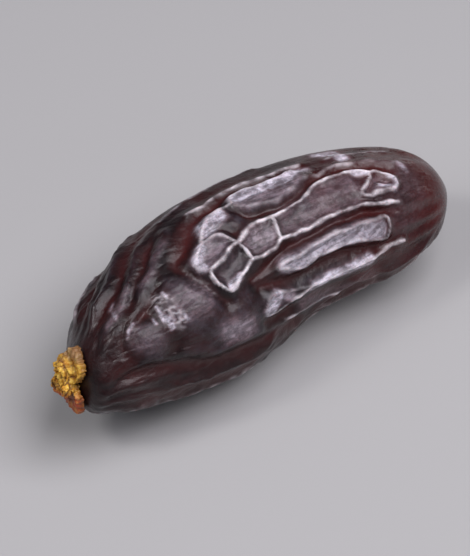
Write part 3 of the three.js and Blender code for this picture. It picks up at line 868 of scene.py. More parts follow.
FOLDS = (
    Fold(0.7, 0, 2.7, ((9, 31), (10.2, 33))),
    Fold(0.42, 0, 2, ((5.2, 38), (5.9, 44))),
    Fold(0.45, 0, 2.4, ((11.5, 55), (14.5, 60))),
    Fold(0.28, 0, 0.8, ((7.9, 66), (9.9, 74), (11.6, 76), (13.6, 77), (16, 79))),
    Fold(0.38, 0.7, 0.6, ((21.6, 45.5), (24, 46.5), (27.4, 44.5), (31, 47), (33.3, 52))),
    Fold(0.4, 0.8, 1.1, ((22, -6), (24.5, -4), (27, -8))),
    Fold(0.36, 0.9, 0.9, ((16.5, 2), (18.6, -1))),
    Fold(0.32, 0.8, 0.7, ((13.9, 15), (15.8, 14))),
    Fold(0.3, 0.7, 0.7, ((18.2, 64), (19.2, 67))),
    Fold(0.3, 1, 1, ((22.5, 74), (26, 76), (31, 78))),
    Fold(0.2, 0, 0.6, ((26.2, 17), (29.8, 14.5), (32.2, 11))),
    Fold(-0.2, 0, 0.35, ((33.8, 20), (34.5, 15), (35.3, 13.5), (36, 16.5))),
    Fold(0.2, 0, 0.3, ((34.6, 19.5), (35.3, 20.5), (36.1, 22.5))),
    Fold(-0.5, 0, 0.8, (
        (13.3, 47), (12.5, 40), (12.1, 31), (11.7, 22), (11.1, 13), (11.4, 6), (13.3, -1), (15.4, -10),
        (18, -17),
    )),
    Fold(-0.34, 0, 0.5, ((15, 4.5), (16.2, 4.5), (17.6, 9), (18.2, 12.5))),
    Fold(-0.42, 0, 0.6, ((19.3, -7), (19.7, -1), (20.9, 6), (23, 9), (25.3, 7), (27.5, 2), (29.6, -4))),
    Fold(-0.4, 0, 0.6, ((18.6, -13), (20, -18.5), (23, -17), (26, -17), (28.8, -20))),
    Fold(-0.32, 0, 0.8, ((6, 23), (6.9, 31), (7.3, 40), (7.4, 50), (7.2, 60))),
    Fold(-0.2, 0, 0.6, ((4.3, 21), (3.7, 30), (3.8, 44), (4.4, 56))),
    Fold(-0.42, 0, 0.6, (
        (17, 41), (19, 40.5), (22.4, 36.5), (27.1, 34), (28.8, 33), (31, 35), (33.3, 37), (36, 42),
    )),
    Fold(-0.42, 0, 0.7, (
        (17.4, 49), (20.5, 54), (23.4, 57), (27.5, 58), (29.7, 61), (32.3, 68), (34.6, 74),
    )),
    Fold(-0.3, 0, 0.6, ((31, -1.5), (33, -3.5), (35, 1), (36.8, 7))),
    Fold(-0.22, 0, 1, ((19, -30), (22, -34), (25, -34))),
    Fold(-0.4, 0, 0.9, (
        (2.8, 62), (5.2, 69), (8, 77), (9.7, 84), (12.1, 87), (15, 88), (18.1, 91), (21.5, 98),
    )),
    Fold(-0.36, 0, 0.8, ((17, 76), (19.6, 78), (22.6, 80), (26, 84), (29.5, 88), (33, 91))),
    Fold(-0.28, 0, 0.8, ((2.2, -5), (4.2, -10), (6.2, -15), (8.8, -27), (11.7, -38), (15, -46))),
    Fold(-0.28, 0, 0.9, ((2, -38), (4.6, -50), (9, -62), (14, -68), (20, -66))),
    Fold(-0.28, 0, 0.6, ((5.4, 9), (6.8, 0), (8.6, -8), (11, -19))),
    Fold(-0.34, 0, 0.6, ((5.4, 25), (6.4, 21), (7.5, 15), (8.4, 10))),
    Fold(0.3, 0, 0.7, ((2.4, 10), (3.6, 8), (4.8, 4), (6.2, -3), (8, -14), (10.4, -27))),
    Fold(0.3, 0, 0.6, ((6.6, 9), (7.8, 2), (9.6, -4), (11.4, -10), (13.2, -18))),
    Fold(0.3, 0, 0.7, ((2.4, -16), (3.6, -22), (5.4, -26), (7.6, -34), (10.1, -47), (12, -56))),
    Fold(0.22, 0, 0.5, ((1.8, 74), (3.4, 65), (5, 59), (7, 64))),
    Fold(-0.45, 0, 1.4, ((6, 106), (12, 114), (18, 112), (25, 114), (33, 108))),
    Fold(-0.5, 0, 1.5, ((8, -95), (14, -88), (22, -92), (30, -84), (35, -88))),
    Fold(-0.55, 0, 1.6, ((10, -128), (17, -122), (26, -127), (34, -118))),
    Fold(-0.4, 0, 1.4, ((12, 150), (20, 156), (30, 149))),
)

# Where pale dust and painted highlights lie on the skin, with painted glints beside the crackled patch
DUST_AND_HIGHLIGHT_BANDS = (
    DustAndHighlightBand(1.0, 0.25, 0.3, ((12.8, 20), (12.8, 14), (13.9, 9.5))),
    DustAndHighlightBand(0.3, 0.6, 0.4, ((13.9, 16), (15.7, 13))),
    DustAndHighlightBand(0.9, 0.6, 0.45, ((15.9, -1), (17.8, -4))),
    DustAndHighlightBand(0.95, 0.4, 0.35, ((20.8, -11), (23.2, -9.5), (26, -10.5), (28.6, -15))),
    DustAndHighlightBand(0.32, 0.8, 0.5, ((21.4, -5), (24.4, -3.5), (26.8, -8))),
    DustAndHighlightBand(0.34, 0.8, 0.6, ((19.4, 22), (20.7, 22))),
    DustAndHighlightBand(0.17, 1.1, 0.8, ((24.2, 21), (28, 19), (31.4, 17))),
    DustAndHighlightBand(0.6, 0.6, 0.35, ((21.2, 45.5), (24, 46.5), (27.4, 44.5), (31, 47), (33.5, 52))),
    DustAndHighlightBand(1.0, 0.48, 0.3, ((24, 70.5), (26.4, 72), (29, 73), (31.4, 74))),
    DustAndHighlightBand(0.9, 0.15, 0.25, ((33.0, 3), (34.3, 7))),
    DustAndHighlightBand(1.0, 0.12, 0.2, ((36.5, 11), (36.9, 16), (36.8, 22), (36.3, 25.5))),
    DustAndHighlightBand(0.9, 0.06, 0.16, ((35.0, 20), (36.1, 22.5))),
    DustAndHighlightBand(0.2, 0.5, 0.5, ((33.9, 20), (35.6, 18))),
    DustAndHighlightBand(0.5, 0.15, 0.3, ((38.1, 1), (38.7, 9))),
    DustAndHighlightBand(1.0, 0.35, 0.4, ((31.6, -33), (32.8, -30), (33.2, -18))),
    DustAndHighlightBand(1.0, 0.55, 0.35, ((17.7, 67.5), (18.9, 62))),
    DustAndHighlightBand(0.4, 0.25, 0.4, ((18.9, 61.5), (20.6, 64.5))),
    DustAndHighlightBand(0.9, 0.14, 0.2, ((14.2, 38.2), (15.2, 37.2), (15.9, 35.4))),
    DustAndHighlightBand(0.18, 1.0, 0.9, ((9.4, 31), (10.8, 33))),
    DustAndHighlightBand(0.1, 0.7, 0.6, ((5.2, 38), (5.9, 46))),
    DustAndHighlightBand(0.38, 0.4, 0.9, ((12.2, 64), (14.3, 69))),
    DustAndHighlightBand(0.07, 0.4, 0.6, ((14.6, 30), (16.4, 26))),
    DustAndHighlightBand(0.13, 0.3, 0.8, ((22.5, 81), (25.1, 90), (27.9, 100), (31.4, 101))),
    DustAndHighlightBand(0.85, 0.35, 0.45, ((24.5, -8.7), (25.6, -8.4), (27.2, -10.8))),
    DustAndHighlightBand(0.07, 1.2, 1.6, ((36.8, 46), (37.6, 34), (38.2, 26))),
    DustAndHighlightBand(0.55, 0.1, 0.25, ((4, 8), (4, 4))),
    DustAndHighlightBand(0.4, 0.08, 0.25, ((4, -3), (4.3, -6))),
    DustAndHighlightBand(0.2, 0.1, 0.4, ((3.2, 8), (4.8, 4), (6.2, -3))),
    DustAndHighlightBand(0.12, 0.1, 0.4, ((7.2, 5), (9.2, -2), (12, -12))),
    DustAndHighlightBand(1.0, 0.08, 0.12, ((8.3, 17), (8.3, 20))),
    DustAndHighlightBand(0.9, 0.1, 0.12, ((7.2, 24), (7.2, 30))),
    DustAndHighlightBand(1.0, 0.1, 0.12, ((7.3, 32), (7.3, 35), (7.5, 41))),
    DustAndHighlightBand(0.8, 0.05, 0.1, ((7.7, 34), (7.7, 37))),
    DustAndHighlightBand(1.0, 0.07, 0.12, ((8.8, 38), (8.9, 41))),
    DustAndHighlightBand(0.7, 0.05, 0.12, ((6.5, 30), (6.6, 33))),
    DustAndHighlightBand(0.6, 0.05, 0.15, ((5.1, 25), (4.6, 28), (4.3, 31))),
)


def smooth_path(path: Sequence[Place], steps: int) -> list[Place]:
    """Rounds a path's corners with a curve through its places.

    Args:
        path: The places that the path runs through.
        steps: How many stretches each span is divided into.

    Returns:
        The places along the curve.
    """
    held = np.array([path[0], *path, path[-1]], float)
    rounded = []
    for before, start, end, after in zip(held, held[1:], held[2:], held[3:]):
        leave, arrive = (end - before) / 2.0, (after - start) / 2.0
        for t in np.arange(steps) / steps:
            cube = (2 * start - 2 * end + leave + arrive) * t**3
            square = (3 * end - 3 * start - 2 * leave - arrive) * t**2
            rounded.append(tuple(cube + square + leave * t + start))
    return rounded + [tuple(held[-1])]


@dataclass(frozen=True)
class LaidOut:
    """Places on the laid-out skin: how far along each lies, its angle, and the fruit's radius there."""

    reach: np.ndarray
    around: np.ndarray
    radius: np.ndarray


@dataclass(frozen=True)
class Pucker:
    """Small folds that run out from an end: how high, how many, how they lean, and where they fade out."""

    height: float
    waves: int
    lean: float
    fade_out: Span
    sway: float = 2.0
    sway_waves: int = 3
    drift: float = 0.25

    def height_at(self, from_end: np.ndarray, around: np.ndarray) -> np.ndarray:
        """How high the folds raise the skin.

        Args:
            from_end: How far each place lies from the end, in millimetres.
            around: The angle of each place.

        Returns:
            The height at each place.
        """
        swayed = self.waves * around + self.sway * np.sin(self.sway_waves * around + self.lean)
        wave = np.sin(swayed + self.drift * from_end)
        return self.height * wave * (1.0 - fade(from_end, *self.fade_out))


@dataclass(frozen=True)
class BackNet:
    """The net on the other side, grown by a rule: its ridges stand where two facets are equally near."""

    form: FruitForm
    first: float = 92.0
    last: float = 308.0
    rows: int = 11
    in_a_row: int = 4
    ends: Span = (6.0, 38.0)
    jitter_along: float = 3.4
    jitter_around: float = 6.5
    stretch: float = 3.0
    height: float = 0.45
    start: float = 84.0
    rise: float = 12.0
    fall: float = 302.0
    paleness: float = 0.45
    paling: Span = (100.0, 150.0)
    seed: int = 4607

    def facets(self) -> list[Place]:
        """The middles of the facets, in rows, each a little out of place.

        Returns:
            The reach and the angle of each one.
        """
        draw = seeded_random(self.seed)
        found = []
        for row in range(self.rows):
            around = self.first + (self.last - self.first) * row / (self.rows - 1)
            for number in range(self.in_a_row):
                step = (number + (row % 2) / 2) / (self.in_a_row - 0.5)
                along = self.ends[0] + (self.ends[1] - self.ends[0]) * step
                along += self.jitter_along * (2 * draw() - 1)
                turn = self.jitter_around * (2 * draw() - 1)
                found.append(self.form.laid_out(along, around + turn))
        return found

    def distance_to(self, places: LaidOut) -> np.ndarray:
        """How far each place lies from the net's nearest ridge.

        Args:
            places: The places.

        Returns:
            The distances in millimetres.
        """
        distances = []
        for reach, around in self.facets():
            aside = places.radius * turn_between(places.around, around)
            distances.append(np.hypot((places.reach - reach) / self.stretch, aside))
        nearest, second = np.partition(np.stack(distances), 1, axis=0)[:2]
        return (second - nearest) / 2.0

    def share_at(self, around: np.ndarray) -> np.ndarray:
        """How much of the net shows at each angle.

        Args:
            around: The angles.

        Returns:
            Shares from 0 to 1.
        """
        degrees = np.degrees(around) % 360.0
        rising = fade(degrees, self.start, self.start + self.rise)
        return rising * (1.0 - fade(degrees, self.fall - self.rise, self.fall))

    def paleness_at(self, around: np.ndarray) -> np.ndarray:
        """How pale the net's crests are at each angle, where they show."""
        return self.paleness * self.share_at(around) * fade(np.degrees(around) % 360.0, *self.paling)


@dataclass(frozen=True)
class Wrinkles:
    """The folds and the raised net that the skin dried into."""

    form: FruitForm
    back: BackNet
    net: tuple[Ridge, ...] = NET
    folds: tuple[Fold, ...] = FOLDS
    dust_and_highlights: tuple[DustAndHighlightBand, ...] = DUST_AND_HIGHLIGHT_BANDS
    path_steps: int = 3
    ridge_width: float = 0.45
    ridge_rounding: float = 0.10
    ridge_joining: int = 6
    full_height: float = 0.6
    crest_width: float = 0.18
    crest_squareness: int = 4
    bed_depth: float = 0.22
    bed_width: float = 1.7
    bed_end_sharpness: float = 1.2
    fade_stem: Span = (0.8, 3.6)
    fade_tip: Span = (0.6, 3.2)
    stem_pucker: Pucker = Pucker(0.16, 15, 1.0, (2.0, 10.0))
    tip_pucker: Pucker = Pucker(0.13, 13, 2.6, (3.0, 13.0))

    def spans(
        self, places: LaidOut, path: Sequence[Place]
    ) -> Iterator[tuple[np.ndarray, np.ndarray, np.ndarray]]:
        """Measures each place against each straight span of a rounded path.

        Args:
            places: The places.
            path: The places that the line runs through.

        Yields:
            How far each place is past the span's start, how far aside of it, and how long the span is there.
        """
        points = [self.form.laid_out(*place) for place in smooth_path(path, self.path_steps)]
        for (reach_a, around_a), (reach_b, around_b) in zip(points, points[1:]):
            run_along = reach_b - reach_a
            run_around = places.radius * turn_between(np.float64(around_b), around_a)
            away_along = places.reach - reach_a
            away_around = places.radius * turn_between(places.around, around_a)
            length = np.hypot(run_along, run_around)
            past = (away_along * run_along + away_around * run_around) / length
            aside = (away_along * run_around - away_around * run_along) / length
            yield past, aside, length

    def distance_to_path(self, places: LaidOut, path: Sequence[Place]) -> np.ndarray:
        """How far each place lies from a line over the skin.

        Args:
            places: The places.
            path: The places that the line runs through.

        Returns:
            The distances in millimetres.
        """
        nearest = np.full(places.reach.shape, np.inf)
        for past, aside, length in self.spans(places, path):
            beyond = past - np.clip(past, 0.0, length)
            nearest = np.minimum(nearest, np.hypot(beyond, aside))
        return nearest

    def bed_along(self, places: LaidOut, path: Sequence[Place]) -> np.ndarray:
        """How much a line's soft surroundings reach each place, with no crease where the line bends.

        Args:
            places: The places.
            path: The places that the line runs through.

        Returns:
            About 1 on the line, and 0 far from it.
        """
        share = np.zeros(places.reach.shape)
        sharp, width = self.bed_end_sharpness, self.bed_width
        for past, aside, length in self.spans(places, path):
            shown = np.tanh(sharp * past / width) + np.tanh(sharp * (length - past) / width)
            share += np.exp(-((aside / width) ** 2)) * shown / 2.0
        return share

    def band_share(self, places: LaidOut, band: Fold | DustAndHighlightBand) -> np.ndarray:
        """How much of a fold or a band of dust and painted highlight is at each place: 1 along its middle,
        and 0 far from it.
        """
        away = np.maximum(self.distance_to_path(places, band.path) - band.flat, 0.0)
        return np.exp(-((away / band.width) ** 2))

    def fold_height(self, places: LaidOut) -> np.ndarray:
        """How high the broader folds raise the skin.

        Args:
            places: The places.

        Returns:
            The height at each place.
        """
        height = np.zeros(places.reach.shape)
        for fold in self.folds:
            height += fold.height * self.band_share(places, fold)
        return height

    def dust_and_highlight_at(self, places: LaidOut) -> np.ndarray:
        """How much pale dust and painted highlight lies on the skin.

        Args:
            places: The places.

        Returns:
            A share from 0 to 1 for each place.
        """
        share = np.zeros(places.reach.shape)
        for band in self.dust_and_highlights:
            share = np.maximum(share, band.strength * self.band_share(places, band))
        return share

    def ridge_profile(self, away: np.ndarray) -> np.ndarray:
        """How high a ridge stands at a distance from its crest: 1 on it, with hollow flanks."""
        rounded = np.hypot(away, self.ridge_rounding) - self.ridge_rounding
        return np.exp(-rounded / self.ridge_width)

    def crest_profile(self, away: np.ndarray) -> np.ndarray:
        """How much of a crest's paleness is at a distance from its middle."""
        return np.exp(-((away / self.crest_width) ** self.crest_squareness))

    def net_height(self, places: LaidOut) -> tuple[np.ndarray, np.ndarray, np.ndarray]:
        """The ridges of the net, over the bed that the skin sinks to between them.

        Args:
            places: The places.

        Returns:
            How high the ridges raise each place, how near it is to a crest, and how deep it lies in the bed.
        """
        from_back = self.back.distance_to(places)
        back = self.back.share_at(places.around)
        total = (back * self.back.height * self.ridge_profile(from_back)) ** self.ridge_joining
        crest = self.back.paleness_at(places.around) * self.crest_profile(from_back)
        bed = back * np.exp(-((from_back / self.bed_width) ** 2))
        for ridge in self.net:
            away = self.distance_to_path(places, ridge.path)
            total += (ridge.height * self.ridge_profile(away)) ** self.ridge_joining
            pale = ridge.paleness * ridge.height / self.full_height
            crest = np.maximum(crest, pale * self.crest_profile(away))
            bed += self.bed_along(places, ridge.path)
        return total ** (1.0 / self.ridge_joining), crest, 1.0 - np.exp(-bed)

    def pucker_at(self, share: np.ndarray, around: np.ndarray) -> np.ndarray:
        """How high the small folds that run out from the two ends raise the skin.

        Args:
            share: How much of the length lies before each place.
            around: The angle of each place.

        Returns:
            The height at each place.
        """
        along = self.form.length * share
        from_tip = self.form.length - along
        return self.stem_pucker.height_at(along, around) + self.tip_pucker.height_at(from_tip, around)

    def edge_fade(self, share: np.ndarray) -> np.ndarray:
        """How much of the relief shows at each share of the length, from 0 at the ends to 1."""
        along = self.form.length * share
        return fade(along, *self.fade_stem) * fade(self.form.length - along, *self.fade_tip)


@dataclass(frozen=True)
class FineWrinkles:
    """The fine lines, low swells and cracks of the skin between the folds."""

    line_height: float = 0.055
    line_size: float = 1.3
    line_sharpness: float = 2.2
    stretch: float = 2.6
    patch_size: float = 7.0
    patch_span: Span = (-0.25, 0.35)
    swell_height: float = 0.05
    swell_size: float = 2.6
    crack_depth: float = 0.035
    crack_size: float = 1.1
    crack_width: float = 0.12
    crack_stretch: float = 1.5
    stem_roughening: float = 1.3
    stem_part: Span = (0.18, 0.4)

    def height_at(self, plain: np.ndarray, share: np.ndarray) -> np.ndarray:
        """How far they raise the skin.

        Args:
            plain: The smooth skin's places.
            share: How much of the length lies before each place.

        Returns:
            The height at each place, in millimetres.
        """
        laid = plain * np.array([1.0 / self.stretch, 1.0, 1.0])
        lines = 1.0 - np.abs(noise_at(laid, self.line_size, Layer.SKIN_LINES)) * self.line_sharpness
        patches = fade(noise_at(plain, self.patch_size, Layer.SKIN_LINE_PATCHES), *self.patch_span)
        relief = self.line_height * patches * np.clip(lines, 0.0, 1.0) ** 2
        relief += self.swell_height * noise_at(laid, self.swell_size, Layer.SKIN_SWELLS)
        drawn_out = plain * np.array([1.0 / self.crack_stretch, 1.0, 1.0])
        cracks = cell_edges(drawn_out, self.crack_size, Layer.SKIN_CRACKS)
        relief -= self.crack_depth * np.exp(-cracks / self.crack_width)
        return (1.0 + self.stem_roughening * (1.0 - fade(share, *self.stem_part))) * relief


@dataclass(frozen=True)
class Crackle:
    """The patch where the skin is crackled into a fine net, whose lines are painted pale as painted glints.
    """

    path: tuple[Place, ...] = ((7.9, 21.0), (8.1, 38.0))
    radius: float = 1.0
    squareness: int = 4
    height: float = 0.07
    # How pale the crackled lines are painted: painted glints on the fine net
    paleness: float = 0.55
    cell_size: float = 0.62
    line_width: float = 0.17
    break_size: float = 0.9
    break_span: Span = (-0.55, 0.1)

    def share_at(self, plain: np.ndarray, away: np.ndarray) -> np.ndarray:
        """How much of its fine net is at each place.

        Args:
            plain: The smooth skin's places.
            away: How far each place lies from the patch's middle line.

        Returns:
            1 on the net's lines, and 0 between them, where they break off and outside the patch.
        """
        patch = np.exp(-((away / self.radius) ** self.squareness))
        lines = np.exp(-((cell_edges(plain, self.cell_size, Layer.CRACKLE_LINES) / self.line_width) ** 2))
        broken = fade(noise_at(plain, self.break_size, Layer.CRACKLE_BREAKS), *self.break_span)
        return patch * (lines * broken)


@dataclass(frozen=True)
class Fruit:
    """The fruit: flesh and skin in one body, with a small flat where it rests."""

    form: FruitForm
    wrinkles: Wrinkles
    finish: SkinFinish
    fine_wrinkles: FineWrinkles = FineWrinkles()
    crackle: Crackle = Crackle()
    rings: int = 246
    sides: int = 396
    end_crowding: float = 0.06
    side_crowding: float = 0.25
    crowded_angle: float = 25.0
    wander: float = 0.26
    wander_size: float = 2.4
    fine_wander_share: float = 0.4
    fine_wander_size: float = 0.8
    least_radius: float = 1.0
    unevenness: float = 0.3
    unevenness_size: float = 1.5
    crest_variation: float = 1.5
    crest_variation_size: float = 1.1
    crest_breaks: float = 0.5
    crest_break_size: float = 0.7
    crest_break_span: Span = (0.0, 0.45)
    tip_part: Span = (0.45, 1.0)
    channel_depth: float = 0.5
    bed_share: float = 0.25
    raised_span: Span = (0.05, 0.45)

    def wander_at(self, plain: np.ndarray, broad: Layer, fine: Layer) -> np.ndarray:
        """How far the lines on the skin wander aside at each place, by a broad and a fine layer of noise."""
        finely = self.fine_wander_share * noise_at(plain, self.fine_wander_size, fine)
        return self.wander * (noise_at(plain, self.wander_size, broad) + finely)

    def broken_crest(self, crest: np.ndarray, plain: np.ndarray) -> np.ndarray:
        """Makes the pale crests vary in width and break off in places.

        Args:
            crest: How near each place is to a crest.
            plain: The smooth skin's places.

        Returns:
            How pale the crest is at each place.
        """
        varied = crest ** np.exp(
            self.crest_variation * noise_at(plain, self.crest_variation_size, Layer.CREST_VARIATION)
        )
        breaks = fade(noise_at(plain, self.crest_break_size, Layer.CREST_BREAKS), *self.crest_break_span)
        return varied * (1.0 - self.crest_breaks * breaks)

    def skin(self, station: np.ndarray, around: np.ndarray) -> tuple[np.ndarray, dict[Paint, np.ndarray]]:
        """The wrinkled skin, and what is painted on it.

        Args:
            station: The station of each place.
            around: The angle of each place.

        Returns:
            The places, with a last dimension of three, and the painted values.
        """
        wrinkles = self.wrinkles
        radius = self.form.radius_at(station)
        share = self.form.share_at(station)
        plain = self.form.plain_skin(station, around)
        aside = self.wander_at(plain, Layer.WANDER_ALONG, Layer.FINE_WANDER_ALONG)
        round_it = self.wander_at(plain, Layer.WANDER_AROUND, Layer.FINE_WANDER_AROUND)
        turned = around + round_it / np.maximum(radius, self.least_radius)
        places = LaidOut(self.form.reach_at(station) + aside, turned, radius)
        ridges, crest, sunk = wrinkles.net_height(places)
        uneven = 1.0 + self.unevenness * noise_at(plain, self.unevenness_size, Layer.RIDGE_UNEVENNESS)
        net = ridges * uneven - wrinkles.bed_depth * sunk
        folds = wrinkles.fold_height(places)
        crackled = self.crackle.share_at(plain, wrinkles.distance_to_path(places, self.crackle.path))
        relief = folds + net + wrinkles.pucker_at(share, around)
        relief = relief + self.fine_wrinkles.height_at(plain, share) + self.crackle.height * crackled
        # The crackled lines are painted pale over the crests, as painted glints
        crest = np.maximum(self.broken_crest(crest, plain), self.crackle.paleness * crackled)
        shown = wrinkles.edge_fade(share)
        paints = {
            Paint.TOWARD_TIP: fade(share, *self.tip_part),
            Paint.PALE_CREST_AND_HIGHLIGHT: np.clip(crest, 0.0, 1.0) * shown,
            Paint.CHANNEL: np.clip(-folds / self.channel_depth, 0.0, 1.0) * shown,
            Paint.RAISED: fade(folds + self.bed_share * sunk, *self.raised_span) * shown,
            Paint.DUST_AND_HIGHLIGHT: wrinkles.dust_and_highlight_at(places) * shown,
        }
        return plain + self.form.plain_normal(station, around) * (relief * shown)[..., None], paints

    def build(self) -> bpy.types.Object:
        """Makes the fruit's mesh and paints its values on it.

        Returns:
            The fruit.
        """
        share = np.arange(1, self.rings + 1) / (self.rings + 1)
        stations = math.pi * (share + self.end_crowding * np.sin(2.0 * math.pi * share))
        even = 2.0 * math.pi * np.arange(self.sides) / self.sides
        angles = even - self.side_crowding * np.sin(even - math.radians(self.crowded_angle))
        grid, paints = self.skin(*np.meshgrid(stations, angles, indexing="ij"))
        ends = [self.form.plain_skin(np.array(end), np.array(0.0)) for end in (0.0, math.pi)]
        points = np.vstack([ends[0], grid.reshape(-1, 3), ends[1]])
        points[:, 2] = np.maximum(points[:, 2], 0.0)
        piece = mesh_object("date_fruit", points, tube_faces(self.rings, self.sides))
        for paint, values in paints.items():
            flat = values.reshape(-1)
            store_paint(piece.data, paint, np.concatenate([[flat[0]], flat, [flat[-1]]]))
        return piece

    def dress(self, piece: bpy.types.Object) -> None:
        """Gives the fruit its skin and its place in the frame.

        Args:
            piece: The fruit.
        """
        piece.data.materials.append(self.finish.build())
        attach(piece, ONE_BODY)
        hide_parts("fruit")


@dataclass(frozen=True)
class Husk:
    """The dry, crumbly surface of the cap: lumps with crumbs on them, and fibres out on its petals.

    Its pattern is rolled round the cap, so that a radian takes pattern_around millimetres of it, and each
    millimetre outward or upward takes pattern_out.
    """

    pattern_around: float = 2.2
    pattern_out: float = 1.7
    lump_height: float = 0.22
    lump_size: float = 1.7
    lump_span: Span = (0.0, 0.4)
    lump_level: float = 0.85
    lump_warp: float = 0.5
    lump_warp_size: float = 0.9
    crumb_height: float = 0.1
    crumb_size: float = 0.62
    crumb_span: Span = (0.0, 0.5)
    crumb_level: float = 0.6
    swell_share: float = 0.7
    swell_size: float = 1.1
    grain_height: float = 0.05
    grain_size: float = 0.3
    fibres: float = 34.0
    fibre_height: float = 0.06
    fibre_sway: float = 4.0
    fibre_sway_size: float = 0.9
    fibres_everywhere: float = 0.3
    fibres_on_petals: float = 0.7
    petal_smoothing: float = 0.65

    def lumps_at(self, points: np.ndarray, angle: np.ndarray, distance: np.ndarray) -> np.ndarray:
        """How far the lumps, the crumbs and the grain raise the husk.

        Args:
            points: The smooth husk's places, in the cap's own frame.
            angle: The angle of each place.
            distance: How far each place lies from the cap's axis.

        Returns:
            The height at each place, in millimetres.
        """
        out, up = self.pattern_out * distance, self.pattern_out * points[:, 2]
        rolled = np.stack([self.pattern_around * angle, out, up], -1)
        warped = rolled + self.lump_warp * noise_at(rolled, self.lump_warp_size, Layer.HUSK_WARP)[:, None]
        lumps = fade(cell_edges(warped, self.lump_size, Layer.HUSK_LUMPS), *self.lump_span)
        crumbs = fade(cell_edges(rolled, self.crumb_size, Layer.HUSK_CRUMBS), *self.crumb_span)
        swells = self.swell_share * self.lump_height * noise_at(rolled, self.swell_size, Layer.HUSK_SWELLS)
        grain = self.grain_height * noise_at(points, self.grain_size, Layer.HUSK_GRAIN)
        height = self.lump_height * (lumps - self.lump_level)
        height = height + self.crumb_height * (crumbs - self.crumb_level)
        return height + (swells + grain)

    def height_at(
        self, points: np.ndarray, angle: np.ndarray, distance: np.ndarray, on_petals: np.ndarray
    ) -> np.ndarray:
        """How far all of its relief raises the husk.

        Args:
            points: The smooth husk's places, in the cap's own frame.
            angle: The angle of each place.
            distance: How far each place lies from the cap's axis.
            on_petals: 0 where a place is on the cup, and 1 where it is out on the petals.

        Returns:
            The height at each place, in millimetres.
        """
        sway = self.fibre_sway * noise_at(points, self.fibre_sway_size, Layer.HUSK_FIBRES)
        strands = np.sin(self.fibres * angle + sway)
        lumpy = (1.0 - self.petal_smoothing * on_petals) * self.lumps_at(points, angle, distance)
        stringy = self.fibres_everywhere + self.fibres_on_petals * on_petals
        return lumpy + self.fibre_height * strands * stringy


